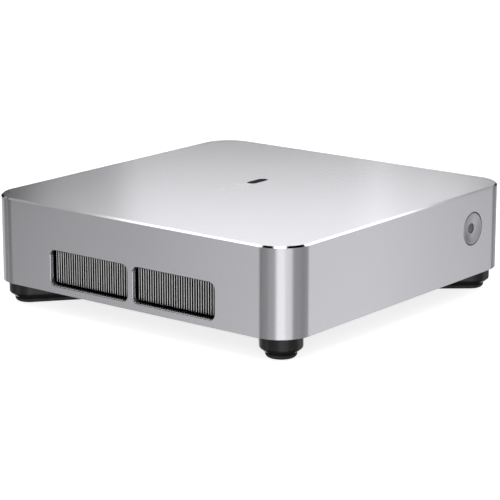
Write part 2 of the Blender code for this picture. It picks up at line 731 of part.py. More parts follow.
def make_blower(plastic, steel, bronze, copper):
    """A flat blower that breathes in from below and blows into the fins."""
    height = BLOWER_TOP - HOUSING_LOW
    place = (FAN_X, FAN_Y, HOUSING_LOW)
    housing = add("blower_housing", prism(scroll_outline(0.0, 0.0), height), plastic, place)
    room = prism(scroll_outline(BLOWER_WALL, 2 * GAP), height - BLOWER_PLATE + GAP)
    alter(housing, "DIFFERENCE", "blower_room", room, (0.0, 0.0, -GAP))
    shaft = SHAFT_DIAMETER / 2
    bore = shaft + SHAFT_CLEARANCE
    sleeve = bore + BEARING_WALL
    tube_inner = sleeve + GAP
    tube = tube_inner + TUBE_WALL
    ceiling = BLOWER_CEILING - HOUSING_LOW
    low = ceiling - BEARING_LENGTH - 2 * GAP
    high = ceiling + BLOWER_PLATE / 2
    post = [(tube_inner, low), (tube, low), (tube, high), (tube_inner, high)]
    alter(housing, "UNION", "bearing_tube", turned(post, ROUND_STEPS))

    plate = prism(scroll_outline(0.0, 0.0), BLOWER_PLATE)
    lid = add("blower_cover", plate, plastic, (FAN_X, FAN_Y, BLOWER_LOW))
    intake = prism(circle(INTAKE_DIAMETER / 2, BUTTON_STEPS), 3 * BLOWER_PLATE)
    alter(lid, "DIFFERENCE", "intake_hole", intake, (0.0, 0.0, -BLOWER_PLATE))

    ring = [(bore, 0.0), (sleeve, 0.0), (sleeve, BEARING_LENGTH), (bore, BEARING_LENGTH)]
    level = BLOWER_CEILING - BEARING_LENGTH - GAP
    add("fan_bearing", turned(ring, ROUND_STEPS), bronze, (FAN_X, FAN_Y, level))

    hub = HUB_DIAMETER / 2 - HUB_WALL
    inner = tube + GAP
    poles = prism(stator_outline(inner, hub - STATOR_AIR_GAP), STATOR_HEIGHT)
    level = BLOWER_CEILING - GAP - STATOR_HEIGHT
    stator = add("fan_stator", poles, copper, (FAN_X, FAN_Y, level))
    bore = prism(circle(inner, ROUND_STEPS), 3 * STATOR_HEIGHT)
    alter(stator, "DIFFERENCE", "stator_bore", bore, (0.0, 0.0, -STATOR_HEIGHT))

    axis = frame_point("fan_axis", (FAN_X, FAN_Y, IMPELLER_LOW))
    wheel = add("fan_impeller", prism(impeller_outline(), IMPELLER_HEIGHT), plastic, parent=axis)
    cup = prism(circle(hub, BUTTON_STEPS), IMPELLER_HEIGHT)
    alter(wheel, "DIFFERENCE", "hub_cup", cup, (0.0, 0.0, HUB_FLOOR))
    bore = prism(circle(shaft + GAP, POST_STEPS), 3 * HUB_FLOOR)
    alter(wheel, "DIFFERENCE", "hub_bore", bore, (0.0, 0.0, -HUB_FLOOR))
    length = BLOWER_CEILING - GAP - IMPELLER_LOW
    add("fan_shaft", prism(circle(shaft, ROUND_STEPS), length), steel, parent=axis)


def make_cooler(copper, silicon):
    """Two flattened heat pipes from the cold plate under the processor to the top of the fins."""
    over_fins = FIN_FRONT_X + FIN_DEPTH / 2
    start = PROCESSOR_X + COLD_PLATE_SIZE / 2
    lane = PIPE_SPACING / 2
    bend = arc((over_fins + PIPE_BEND, lane + PIPE_BEND), PIPE_BEND, 270, 180, 8)
    end = FIN_REACH - GAP
    path = [(start, lane)] + bend + [(over_fins, end)]
    for name, side in (("heat_pipe_rear", 1), ("heat_pipe_front", -1)):
        outline = strip_outline([(x, side * y) for x, y in path], PIPE_WIDTH)
        pipe = prism(outline, PIPE_THICKNESS)
        round_over = PIPE_THICKNESS * PIPE_ROUNDING
        ease(ease(pipe, PIPE_THICKNESS, round_over, 2), 0.0, round_over, 2)
        add(name, pipe, copper, (0.0, 0.0, PIPE_LOW))
    plate = block(COLD_PLATE_SIZE, COLD_PLATE_SIZE, COLD_PLATE_THICKNESS)
    add("cold_plate", ease(plate, 0.0, COLD_PLATE_THICKNESS / 3, 1), copper, (PROCESSOR_X, 0.0, PLATE_LOW))
    package = block(PROCESSOR_WIDTH, PROCESSOR_DEPTH, PROCESSOR_THICKNESS - DIE_THICKNESS)
    item = add("processor", package, silicon, (PROCESSOR_X, 0.0, PROCESSOR_LOW + DIE_THICKNESS))
    die = block(DIE_WIDTH, DIE_DEPTH, 2 * DIE_THICKNESS)
    alter(item, "UNION", "processor_die", die, (0.0, 0.0, -DIE_THICKNESS))


# ---------------------------------------------------------------- electronics
def board_outline():
    """The main board: a square with its corners cut off for the posts and a notch for the button."""
    x = BOARD_X
    y = BOARD_Y
    cut = BOARD_CORNER
    notch = BUTTON_DIAMETER / 2 + BUTTON_FLANGE_WIDTH + GUIDE_WALL + 2 * BUTTON_CLEARANCE
    left = BUTTON_X - notch
    right = x - cut + y + SWITCH_FRONT
    points = [(-x, y - cut), (-x, -y + cut), (-x + cut, -y), (left, -y), (left, SWITCH_FRONT)]
    points += [(right, SWITCH_FRONT), (x, -y + cut), (x, y - cut), (x - cut, y), (-x + cut, y)]
    return points


def make_board(material, steel):
    """The main board with its largest chips, hung from the roof's standoffs by four screws."""
    board = add("main_board", prism(board_outline(), BOARD_THICKNESS), material, (0.0, 0.0, BOARD_LOW))
    holes = []
    for name, (side_x, side_y) in CORNERS.items():
        place = (side_x * BOARD_HOLE_X, side_y * BOARD_HOLE_Y)
        hole = prism(circle(SCREW_HOLE, POST_STEPS), 3 * BOARD_THICKNESS)
        holes.append((hole, (*place, -BOARD_THICKNESS)))
        grip = ON_BOARD - UNDER_BOARD
        body = screw(BOARD_SCREW_BITE, grip)
        add_screw("board_screw_" + name, body, steel, (*place, UNDER_BOARD))
    alter(board, "DIFFERENCE", "board_holes", grouped(holes))
    chips = []
    for index, (width, depth, height) in enumerate(BOARD_CHIPS):
        along = (index - (len(BOARD_CHIPS) - 1) / 2) * BOARD_CHIP_PITCH
        chip = block(width, depth, height)
        chips.append((chip, (along, -BOARD_Y + BOARD_CHIP_INSET, BOARD_THICKNESS - GAP)))
    alter(board, "UNION", "board_chips", grouped(chips))


def card(name, length, width, thickness, chips, material, at):
    """A plug-in card along Y with chips on its upper face."""
    item = add(name, block(width, length, thickness), material, at)
    raised = []
    for along, chip_width, chip_length, chip_height in chips:
        raised.append((block(chip_width, chip_length, chip_height + GAP), (0.0, along, thickness - GAP)))
    alter(item, "UNION", name + "_chips", grouped(raised))


def make_memory(green, plastic):
    """Two memory modules lying flat, each in an edge socket."""
    slot = RAM_THICKNESS + 2 * GAP
    low = (RAM_SOCKET_HEIGHT - slot) / 2
    first = -(RAM_CHIPS - 1) / 2 * RAM_CHIP_PITCH
    chips = []
    for step in range(RAM_CHIPS):
        chips.append((first + step * RAM_CHIP_PITCH, RAM_CHIP_WIDTH, RAM_CHIP_LENGTH, RAM_THICKNESS))
    for index, name in enumerate(("a", "b")):
        edge = RAM_FIRST_X - index * RAM_PITCH
        shape = block(RAM_SOCKET_WIDTH, RAM_SOCKET_LENGTH, RAM_SOCKET_HEIGHT)
        x = edge - RAM_SOCKET_WIDTH / 2
        item = add("memory_socket_" + name, shape, plastic, (x, 0.0, ON_BOARD))
        groove = block(RAM_SOCKET_WIDTH, RAM_LENGTH + 2 * GAP, slot)
        at = (-RAM_SOCKET_WIDTH + RAM_INSERTION + GAP, 0.0, low)
        alter(item, "DIFFERENCE", "memory_groove_" + name, groove, at)
        x = edge - RAM_SOCKET_WIDTH + RAM_INSERTION - RAM_WIDTH / 2
        level = ON_BOARD + low + GAP
        card("memory_module_" + name, RAM_LENGTH, RAM_WIDTH, RAM_THICKNESS, chips, green, (x, 0.0, level))


def card_socket(name, material, x, back):
    """A low edge socket at a card's end, open towards -Y; back is its rear face."""
    shape = block(SSD_WIDTH, CARD_SOCKET_DEPTH, CARD_SOCKET_HEIGHT)
    item = add(name, shape, material, (x, back - CARD_SOCKET_DEPTH / 2, ON_BOARD))
    groove = block(SSD_WIDTH - 2 * SOCKET_CHEEK, CARD_SOCKET_DEPTH, CARD_THICKNESS + 2 * GAP)
    reach = -CARD_SOCKET_DEPTH + CARD_INSERTION + GAP
    alter(item, "DIFFERENCE", name + "_groove", groove, (0.0, reach, CARD_RISE - GAP))


def make_cards(green, plastic, steel):
    """The solid-state drive and the wireless card, each in a socket, and the drive's screw."""
    width = SSD_WIDTH - 2 * SOCKET_CHEEK - 2 * GAP
    end = CARD_BACK_Y - CARD_SOCKET_DEPTH + CARD_INSERTION
    chips = []
    for step in (-1, 0, 1):
        chips.append((step * SSD_CHIP_PITCH, width - 4 * GAP, SSD_CHIP_LENGTH, CARD_THICKNESS))
    for name, x, length, raised in (
        ("drive", SSD_X, SSD_LENGTH, chips),
        ("wireless", WIFI_X, WIFI_LENGTH, chips[1:2]),
    ):
        card_socket(name + "_socket", plastic, x, CARD_BACK_Y)
        at = (x, end - length / 2, ON_BOARD + CARD_RISE)
        card(name + "_card", length, width, CARD_THICKNESS, raised, green, at)
    post = [(0.0, 0.0), (SCREW_HEAD_DIAMETER / 2, 0.0)]
    post += [(SCREW_HEAD_DIAMETER / 2, SSD_POST_HEIGHT), (0.0, SSD_POST_HEIGHT)]
    y = end - SSD_LENGTH - SCREW_HEAD_DIAMETER / 2 - GAP
    add("drive_post", turned(post, POST_STEPS), steel, (SSD_X, y, ON_BOARD))


def make_coin_cell(steel, plastic):
    """The clock's coin cell in its holder."""
    radius = CELL_DIAMETER / 2
    wall = radius + GAP
    cup = [(0.0, 0.0), (wall + HOLDER_WALL, 0.0), (wall + HOLDER_WALL, HOLDER_HEIGHT)]
    cup += [(wall, HOLDER_HEIGHT), (wall, HOLDER_FLOOR), (0.0, HOLDER_FLOOR)]
    add("coin_cell_holder", turned(cup, ROUND_STEPS), plastic, (CELL_X, CELL_Y, ON_BOARD))
    cell = turned([(0.0, 0.0), (radius, 0.0), (radius, CELL_THICKNESS), (0.0, CELL_THICKNESS)], ROUND_STEPS)
    add("coin_cell", cell, steel, (CELL_X, CELL_Y, ON_BOARD + HOLDER_FLOOR + GAP))


def make_antennas(material):
    """Two flat antennas behind the plastic rear panel, above the main board."""
    y = REAR - WALL - GAP - PANEL_FLANGE_THICKNESS - GAP - ANTENNA_THICKNESS / 2
    for name, side in (("antenna_left", -1), ("antenna_right", 1)):
        strip = block(ANTENNA_LENGTH, ANTENNA_THICKNESS, ANTENNA_WIDTH)
        add(name, strip, material, (side * ANTENNA_X, y, ON_BOARD))


# ---------------------------------------------------------------- rear connectors
def usb_mouths():
    """Two stacked openings, each with its contact tongue."""
    rise = USB_MOUTH_HEIGHT + USB_WEB
    return [(0.0, side * rise / 2, USB_MOUTH_WIDTH, USB_MOUTH_HEIGHT, USB_TONGUE) for side in (-1, 1)]


def hdmi_mouths():
    """Two stacked display openings, each with its contact tongue."""
    rise = HDMI_MOUTH_HEIGHT + HDMI_WEB
    return [(0.0, side * rise / 2, HDMI_MOUTH_WIDTH, HDMI_MOUTH_HEIGHT, HDMI_TONGUE) for side in (-1, 1)]


def ports():
    """Each rear connector: its name, width, height, depth and mouths (x, y, width, height, tongue)."""
    usb = 2 * USB_MOUTH_HEIGHT + USB_WEB + 2 * PORT_SKIN
    usb_wide = USB_MOUTH_WIDTH + 2 * PORT_SKIN
    hdmi = 2 * HDMI_MOUTH_HEIGHT + HDMI_WEB + 2 * PORT_SKIN
    hdmi_wide = HDMI_MOUTH_WIDTH + 2 * PORT_SKIN
    network = NETWORK_MOUTH_HEIGHT + 2 * NETWORK_SKIN
    network_wide = NETWORK_MOUTH_WIDTH + 2 * NETWORK_SKIN
    network_mouths = [(0.0, 0.0, NETWORK_MOUTH_WIDTH, NETWORK_MOUTH_HEIGHT, 0.0)]
    type_c = TYPE_C_HEIGHT + 2 * PORT_SKIN
    type_c_wide = TYPE_C_WIDTH + 2 * PORT_SKIN
    type_c_mouths = [(0.0, 0.0, TYPE_C_WIDTH, TYPE_C_HEIGHT, TYPE_C_TONGUE)]
    return [
        ("power_inlet", INLET_SIZE, INLET_SIZE, INLET_DEPTH, "inlet"),
        ("usb_c_port", type_c_wide, type_c, TYPE_C_DEPTH, type_c_mouths),
        ("hdmi_stack", hdmi_wide, hdmi, HDMI_DEPTH, hdmi_mouths()),
        ("ethernet_jack", network_wide, network, NETWORK_DEPTH, network_mouths),
        ("usb_stack_a", usb_wide, usb, USB_DEPTH, usb_mouths()),
        ("usb_stack_b", usb_wide, usb, USB_DEPTH, usb_mouths()),
        ("audio_jack", AUDIO_SIZE, AUDIO_SIZE, AUDIO_DEPTH, "audio"),
    ]


def make_port(name, size, mouths, at, material):
    """One connector: a block with its mouths cut in from the rear and a tongue standing in each."""
    width, height, depth = size
    shape = prism(rounded_rectangle(width, height, PORT_SKIN, 1), depth)
    item = add(name, shape, material, at, FACE_FRONT)
    if mouths == "inlet":
        deep = depth - PORT_BACK
        pin = INLET_PIN / 2
        profile = [(0.0, -PORT_RECESS), (INLET_BORE / 2, -PORT_RECESS), (INLET_BORE / 2, deep)]
        profile += [(pin, deep), (pin, TONGUE_SETBACK), (0.0, TONGUE_SETBACK)]
        alter(item, "DIFFERENCE", name + "_bore", turned(profile, POST_STEPS))
        return
    if mouths == "audio":
        bore = prism(circle(AUDIO_BORE / 2, POST_STEPS), depth - PORT_BACK + PORT_RECESS)
        alter(item, "DIFFERENCE", name + "_bore", bore, (0.0, 0.0, -PORT_RECESS))
        return
    deep = depth - PORT_BACK
    pockets = []
    tongues = []
    for x, y, mouth_width, mouth_height, tongue in mouths:
        pocket = prism(rounded_rectangle(mouth_width, mouth_height, PORT_SKIN, 1), deep + PORT_RECESS)
        pockets.append((pocket, (x, y, -PORT_RECESS)))
        if tongue:
            bar = block(mouth_width - 2 * tongue, tongue, deep - TONGUE_SETBACK + PORT_BACK / 2)
            tongues.append((bar, (x, y, TONGUE_SETBACK)))
    alter(item, "DIFFERENCE", name + "_mouths", grouped(pockets))
    if tongues:
        alter(item, "UNION", name + "_tongues", grouped(tongues))


def make_rear(plastic, steel):
    """The plastic rear panel and the connectors that look out of it, hung under the main board."""
    height = PANEL_HIGH - PANEL_LOW
    play = 2 * PANEL_CLEARANCE
    outline = rounded_rectangle(PANEL_WIDTH - play, height - play, PANEL_RADIUS - PANEL_CLEARANCE, 4)
    thickness = WALL + GAP + PANEL_FLANGE_THICKNESS
    middle = CASE_LOW + (PANEL_HIGH + PANEL_LOW) / 2
    panel = add("rear_panel", prism(outline, thickness), plastic, (0.0, REAR, middle), FACE_FRONT)
    rim = rounded_rectangle(PANEL_WIDTH + 2 * PANEL_FLANGE, height + 2 * PANEL_FLANGE, PANEL_RADIUS, 4)
    alter(panel, "UNION", "panel_flange", prism(rim, PANEL_FLANGE_THICKNESS), (0.0, 0.0, WALL + GAP))
    rows = ports()
    total = sum(row[1] for row in rows) + PORT_SPACING * (len(rows) - 1)
    left = -total / 2
    grow = 2 * PORT_CLEARANCE
    radius = PORT_SKIN + PORT_CLEARANCE
    holes = []
    for name, width, port_height, depth, mouths in rows:
        x = left + width / 2
        z = UNDER_BOARD - port_height / 2
        make_port(name, (width, port_height, depth), mouths, (x, REAR - PORT_RECESS, z), steel)
        hole = prism(rounded_rectangle(width + grow, port_height + grow, radius, 2), 3 * thickness)
        holes.append((hole, (x, z - middle, -thickness)))
        left += width + PORT_SPACING
    alter(panel, "DIFFERENCE", "port_holes", grouped(holes))


# ---------------------------------------------------------------- the whole machine
def clear_scene():
    """Remove everything that is in the scene."""
    for item in list(bpy.data.objects):
        bpy.data.objects.remove(item, do_unlink=True)


def main():
    """Build every piece in its place."""
    clear_scene()
    aluminium = finish("anodised_aluminium", (0.72, 0.73, 0.75), 0.38, 1.0)
    fin_metal = finish("fin_aluminium", (0.66, 0.67, 0.69), 0.4, 1.0)
    black = finish("black_plastic", (0.02, 0.02, 0.021), 0.5, 0.0)
    rubber = finish("rubber", (0.012, 0.012, 0.012), 0.85, 0.0)
    lens = finish("lens", (0.45, 0.46, 0.47), 0.3, 0.0)
    copper = finish("copper", (0.8, 0.42, 0.25), 0.3, 1.0)
    bronze = finish("bronze", (0.66, 0.5, 0.26), 0.4, 1.0)
    steel = finish("steel", (0.55, 0.55, 0.56), 0.35, 1.0)
    silicon = finish("silicon", (0.06, 0.07, 0.08), 0.25, 0.0)
    green = finish("circuit_board", (0.01, 0.05, 0.03), 0.45, 0.0)
    make_shell(aluminium)
    make_bottom_cover(black)
    make_feet(black, rubber, steel)
    make_button(aluminium, lens, black, steel)
    make_fins(fin_metal)
    make_blower(black, steel, bronze, copper)
    make_cooler(copper, silicon)
    make_board(green, steel)
    make_memory(green, black)
    make_cards(green, black, steel)
    make_coin_cell(steel, black)
    make_antennas(copper)
    make_rear(black, steel)


main()
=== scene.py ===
"""Looks of a small square desktop computer, modelled and finished around its fixed frame."""

import math

import bmesh
import bpy
from bpy.props import FloatProperty, FloatVectorProperty, IntProperty, PointerProperty
from bpy.types import Operator, Panel, PropertyGroup
from mathutils import Matrix, Vector


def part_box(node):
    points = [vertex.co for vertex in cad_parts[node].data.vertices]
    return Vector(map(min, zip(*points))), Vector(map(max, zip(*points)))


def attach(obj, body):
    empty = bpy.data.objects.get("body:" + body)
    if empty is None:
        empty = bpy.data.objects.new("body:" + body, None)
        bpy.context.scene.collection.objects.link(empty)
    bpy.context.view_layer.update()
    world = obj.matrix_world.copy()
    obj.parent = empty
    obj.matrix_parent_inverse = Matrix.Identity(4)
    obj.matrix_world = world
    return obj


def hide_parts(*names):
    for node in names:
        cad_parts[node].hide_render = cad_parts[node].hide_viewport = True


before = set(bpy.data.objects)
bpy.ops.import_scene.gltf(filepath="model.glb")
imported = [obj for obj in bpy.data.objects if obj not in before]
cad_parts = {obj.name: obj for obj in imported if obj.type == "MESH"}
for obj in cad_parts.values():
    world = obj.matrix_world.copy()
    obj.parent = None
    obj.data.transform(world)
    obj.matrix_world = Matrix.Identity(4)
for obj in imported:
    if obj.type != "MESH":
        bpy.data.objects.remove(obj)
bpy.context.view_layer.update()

bl_info = {
    "name": "Mini PC builder",
    "version": (1, 0, 0),
    "blender": (4, 5, 0),
    "location": "3D View > Sidebar > Mini PC",
    "description": "Models and finishes a small square desktop computer around its frame",
    "category": "Add Mesh",
}

MM = 0.001
CORNERS = ("front_left", "front_right", "rear_left", "rear_right")
FACE_FRONT = Matrix.Rotation(math.radians(90), 4, "X")
SHARP = math.radians(50)
CREASE = math.radians(35)


# ---------------------------------------------------------------- shader graphs
class Wire:
    """One output of a node, which Python sums and products turn into Math nodes."""

    def __init__(self, graph, socket):
        self.graph = graph
        self.socket = socket

    def maths(self, operation, *values):
        return self.graph.node("ShaderNodeMath", {"operation": operation}, dict(enumerate(values)))

    def __add__(self, other):
        return self.maths("ADD", self, other)

    def __radd__(self, other):
        return self.maths("ADD", other, self)

    def __rsub__(self, other):
        return self.maths("SUBTRACT", other, self)

    def __mul__(self, other):
        return self.maths("MULTIPLY", self, other)


class Graph:
    """A node tree, and the one method that adds a node to it."""

    def __init__(self, tree):
        self.tree = tree

    def node(self, kind, settings=None, inputs=None, output=0):
        """Add a node: its settings first, then the values or wires of its sockets."""
        made = self.tree.nodes.new(kind)
        for name, value in (settings or {}).items():
            setattr(made, name, value)
        for name, value in (inputs or {}).items():
            if isinstance(value, Wire):
                self.tree.links.new(value.socket, made.inputs[name])
            else:
                made.inputs[name].default_value = value
        return Wire(self, made.outputs[output])

    def between(self, value, low, high):
        """A smooth step from 0 to 1 as a value goes from low to high."""
        settings = {"interpolation_type": "SMOOTHSTEP"}
        return self.node("ShaderNodeMapRange", settings, {0: value, 1: low, 2: high})


class Finish(Graph):
    """A material with one Principled shader."""

    def __init__(self, name, color, roughness, metallic=0.0, **sockets):
        self.material = bpy.data.materials.new(name)
        self.material.use_nodes = True
        super().__init__(self.material.node_tree)
        self.shader = self.tree.nodes["Principled BSDF"]
        self.color = color
        self.set("Base Color", (*color, 1.0))
        self.set("Roughness", roughness)
        self.set("Metallic", metallic)
        for socket, value in sockets.items():
            self.set(socket.replace("_", " "), value)
        self.material.diffuse_color = (*color, 1.0)
        self.place = None

    def set(self, socket, value):
        """Set or link one socket of the shader."""
        if isinstance(value, Wire):
            self.tree.links.new(value.socket, self.shader.inputs[socket])
        else:
            self.shader.inputs[socket].default_value = value

    def position(self, scale=(1.0, 1.0, 1.0)):
        """The point on the piece in its own metres, stretched by a scale."""
        if self.place is None:
            self.place = self.node("ShaderNodeTexCoord", output="Object")
        if tuple(scale) == (1.0, 1.0, 1.0):
            return self.place
        return self.node("ShaderNodeMapping", {}, {"Vector": self.place, "Scale": scale})

    def noise(self, size, detail=2.0, stretch=(1.0, 1.0, 1.0), roughness=0.5):
        """Cloudy noise from 0 to 1 whose features are about size metres across."""
        vector = self.position(stretch)
        inputs = {"Vector": vector, "Scale": 1.0 / size, "Detail": detail, "Roughness": roughness}
        return self.node("ShaderNodeTexNoise", {}, inputs)

    def cells(self, size, feature="F1"):
        """Cellular noise whose cells are about size metres across."""
        inputs = {"Vector": self.position(), "Scale": 1.0 / size}
        return self.node("ShaderNodeTexVoronoi", {"feature": feature}, inputs)

    def blend(self, factor, first, second):
        """A colour between two colours."""
        inputs = {0: factor, 6: first, 7: second}
        return self.node("ShaderNodeMix", {"data_type": "RGBA"}, inputs, output=2)

    def tint(self, factor, change):
        """The base colour, shaded by up to a share of itself where factor is 1."""
        shaded = tuple(level * change for level in self.color)
        self.set("Base Color", self.blend(factor, (*self.color, 1.0), (*shaded, 1.0)))

    def bump(self, height, depth, strength=1.0):
        """Relief: height from 0 to 1 over a depth in metres."""
        inputs = {"Strength": strength, "Distance": depth, "Height": height}
        self.set("Normal", self.node("ShaderNodeBump", {}, inputs))


def blasted_aluminium(name, roughness):
    """Bead-blasted, clear anodised aluminium: a fine even grain with faint clouding and handling marks."""
    metal = Finish(name, (0.8, 0.79, 0.83), roughness, 1.0)
    grain = metal.noise(0.22 * MM, 2.0)
    cloud = metal.noise(38 * MM, 3.0)
    touch = metal.between(metal.noise(9 * MM, 4.0, roughness=0.65), 0.52, 0.78)
    metal.tint(cloud * 0.5 + grain * 0.5, 0.955)
    metal.set("Roughness", roughness + cloud * 0.01 + grain * 0.02 + touch * 0.006)
    metal.bump(grain, 0.004 * MM, 0.06)
    return metal


def make_satin_aluminium():
    """Satin outside of the case."""
    return blasted_aluminium("satin_aluminium", 0.215)


def make_button_aluminium():
    """Softer, finer satin of the button's cap."""
    return blasted_aluminium("button_aluminium", 0.4)


def make_polished_edge():
    """The diamond-cut chamfer round the roof: bright bare aluminium with fine tool lines along it."""
    metal = Finish("polished_edge", (0.9, 0.905, 0.92), 0.1, 1.0)
    lines = metal.noise(0.05 * MM, 1.0, (0.05, 0.05, 1.0))
    metal.tint(lines, 0.96)
    metal.set("Roughness", 0.08 + lines * 0.07)
    return metal


def make_fin_edge():
    """The bright sheared edges of the fins."""
    metal = Finish("fin_edge", (0.95, 0.95, 0.96), 0.36, 1.0)
    shear = metal.noise(0.4 * MM, 2.0, (1.0, 1.0, 0.3))
    metal.tint(shear, 0.75)
    metal.set("Roughness", 0.24 + shear * 0.16)
    return metal


def make_fin_side_painted_shade():
    """The fins' rolled sides, painted near black as the shade in the gaps between the fins, with the faint
    lines of the roll and a little dust.
    """
    # Painted shade: the near-black base colour stands in for the shade deep in the gaps between the fins.
    metal = Finish("fin_aluminium", (0.006, 0.006, 0.006), 0.42, 1.0)
    roll = metal.noise(0.3 * MM, 2.0, (0.05, 1.0, 1.0))
    dust = metal.between(metal.noise(3 * MM, 3.0), 0.55, 0.8)
    metal.tint(roll * 0.5 + dust * 0.5, 0.8)
    metal.set("Roughness", 0.3 + roll * 0.12 + dust * 0.2)
    metal.bump(roll, 0.01 * MM, 0.4)
    return metal


def textured_plastic(name, color, roughness, grain_size):
    """Moulded plastic with a fine spark-eroded grain, a little shinier where it has been rubbed."""
    plastic = Finish(name, color, roughness)
    grain = plastic.cells(grain_size)
    rubbed = plastic.between(plastic.noise(14 * MM, 4.0), 0.45, 0.75)
    plastic.tint(plastic.noise(6 * MM, 3.0), 1.5)
    plastic.set("Roughness", roughness - rubbed * 0.08 + grain * 0.08)
    plastic.bump(grain, 0.02 * MM, 0.5)
    return plastic


def make_black_plastic():
    """Black moulded plastic of the feet, bottom plate and rear panel."""
    return textured_plastic("black_plastic", (0.006, 0.006, 0.0063), 0.24, 0.25 * MM)


def make_inner_plastic():
    """Smooth black plastic of sockets, fan and guides."""
    return textured_plastic("inner_plastic", (0.03, 0.03, 0.032), 0.38, 0.6 * MM)


def make_foot_rubber():
    """Matt black rubber with a dusty bloom and tiny pits."""
    rubber = Finish("foot_rubber", (0.014, 0.014, 0.0145), 0.72)
    pits = rubber.cells(0.5 * MM)
    bloom = rubber.between(rubber.noise(4 * MM, 4.0), 0.45, 0.8)
    rubber.tint(bloom, 2.2)
    rubber.set("Roughness", 0.66 + bloom * 0.14)
    rubber.bump(pits, 0.03 * MM, 0.4)
    return rubber


def make_light_guide():
    """The frosted grey light guide in the button, unlit."""
    guide = Finish("light_guide", (0.075, 0.075, 0.08), 0.34, Coat_Weight=0.2, Coat_Roughness=0.25)
    frost = guide.noise(0.2 * MM, 2.0)
    guide.tint(frost, 1.25)
    guide.set("Roughness", 0.28 + frost * 0.12)
    guide.bump(frost, 0.004 * MM, 0.3)
    return guide


def metal_finish(name, color, roughness, mottle, depth):
    """Plain plated or bare metal with drawn lines and a mottled tone."""
    metal = Finish(name, color, roughness, 1.0)
    lines = metal.noise(0.12 * MM, 2.0, (1.0, 1.0, 0.08))
    spots = metal.noise(2.5 * MM, 4.0)
    metal.tint(spots * 0.7 + lines * 0.3, mottle)
    metal.set("Roughness", roughness + spots * 0.12 + lines * 0.06)
    metal.bump(lines, depth, 0.4)
    return metal


def make_copper():
    """Bare copper, tarnished in patches."""
    return metal_finish("copper", (0.83, 0.42, 0.25), 0.24, 0.7, 0.006 * MM)


def make_bronze():
    """Sintered bronze of the sleeve bearing."""
    return metal_finish("bronze", (0.62, 0.44, 0.2), 0.34, 0.75, 0.02 * MM)


def make_steel():
    """Zinc-plated steel of screws, shaft and posts."""
    return metal_finish("steel", (0.56, 0.57, 0.58), 0.28, 0.8, 0.006 * MM)


def make_port_steel():
    """Nickel-plated sheet of the connector shells."""
    return metal_finish("port_steel", (0.72, 0.71, 0.69), 0.22, 0.85, 0.004 * MM)


def make_gold():
    """Gold-plated contacts."""
    return metal_finish("gold", (0.88, 0.66, 0.3), 0.2, 0.85, 0.002 * MM)


def make_circuit_board():
    """Dark solder mask over copper tracks and scattered vias."""
    board = Finish("circuit_board", (0.012, 0.045, 0.032), 0.36, Coat_Weight=0.4, Coat_Roughness=0.25)
    tracks = board.between(board.cells(2.4 * MM, "DISTANCE_TO_EDGE"), 0.04, 0.09)
    vias = board.between(board.cells(2.4 * MM), 0.16, 0.2)
    board.tint(1.0 - tracks * vias, 2.1)
    board.set("Roughness", 0.3 + tracks * 0.12)
    board.bump(tracks, 0.03 * MM, 0.5)
    return board


def make_chip():
    """The processor's dark laminate and glossy die."""
    return textured_plastic("chip", (0.03, 0.034, 0.04), 0.3, 0.4 * MM)


def make_white_ink():
    """Bright silvery white of the ring in the mark, a little uneven."""
    ink = Finish("white_ink", (0.98, 0.98, 0.98), 0.3, 1.0)
    ink.tint(ink.noise(0.4 * MM, 2.0), 0.94)
    ink.set("Roughness", 0.24 + ink.noise(0.3 * MM) * 0.12)
    return ink


def make_black_ink():
    """Black print, a little uneven."""
    ink = Finish("black_ink", (0.012, 0.012, 0.013), 0.6, Specular_IOR_Level=0.15)
    ink.tint(ink.noise(0.4 * MM, 2.0), 1.8)
    ink.set("Roughness", 0.56 + ink.noise(0.3 * MM) * 0.12)
    return ink


def make_floor_paper():
    """A seamless pale studio floor, open to the eye from below."""
    paper = Finish("floor_paper", (0.93, 0.93, 0.93), 0.8)
    behind = paper.node("ShaderNodeNewGeometry", output="Backfacing")
    paper.set("Alpha", 1.0 - behind)
    paper.set("Emission Color", (1.0, 1.0, 1.0, 1.0))
    paper.set("Emission Strength", 0.8)
    paper.tint(paper.noise(40 * MM, 3.0), 0.99)
    paper.set("Roughness", 0.75 + paper.noise(3 * MM) * 0.1)
    return paper


MAKERS = {
    "satin_aluminium": make_satin_aluminium,
    "button_aluminium": make_button_aluminium,
    "polished_edge": make_polished_edge,
    "fin_edge": make_fin_edge,
    "fin_aluminium": make_fin_side_painted_shade,
    "black_plastic": make_black_plastic,
    "inner_plastic": make_inner_plastic,
    "foot_rubber": make_foot_rubber,
    "light_guide": make_light_guide,
    "copper": make_copper,
    "bronze": make_bronze,
    "steel": make_steel,
    "port_steel": make_port_steel,
    "gold": make_gold,
    "circuit_board": make_circuit_board,
    "chip": make_chip,
    "white_ink": make_white_ink,
    "black_ink": make_black_ink,
    "floor_paper": make_floor_paper,
}
FINISHES = {}


def finish(name):
    """The material of a name, made the first time it is asked for."""
    if name not in FINISHES:
        FINISHES[name] = MAKERS[name]().material
    return FINISHES[name]


# ---------------------------------------------------------------- mesh tools
def centre(low, high):
    """The middle of a box."""
    return (low + high) / 2


def box_body(low, high):
    """A block between two corners."""
    body = bmesh.new()
    size = Matrix.Diagonal((*(high - low), 1.0))
    bmesh.ops.create_cube(body, size=1.0, matrix=Matrix.Translation(centre(low, high)) @ size)
    return body


def soften(body, edges, amount, segments):
    """Bevel some edges of a body, round if it has segments and flat with one."""
    return bmesh.ops.bevel(
        body,
        geom=edges,
        offset=amount,
        offset_type="OFFSET",
        segments=segments,
        profile=0.5,
        affect="EDGES",
        clamp_overlap=True,
        material=-1,
    )["faces"]


def edges_along(body, letter):
    """The straight edges of a body that run along one axis."""
    index = "XYZ".index(letter)
    found = []
    for edge in body.edges:
        run = edge.verts[1].co - edge.verts[0].co
        if abs(run[index]) > 0.999 * run.length:
            found.append(edge)
    return found


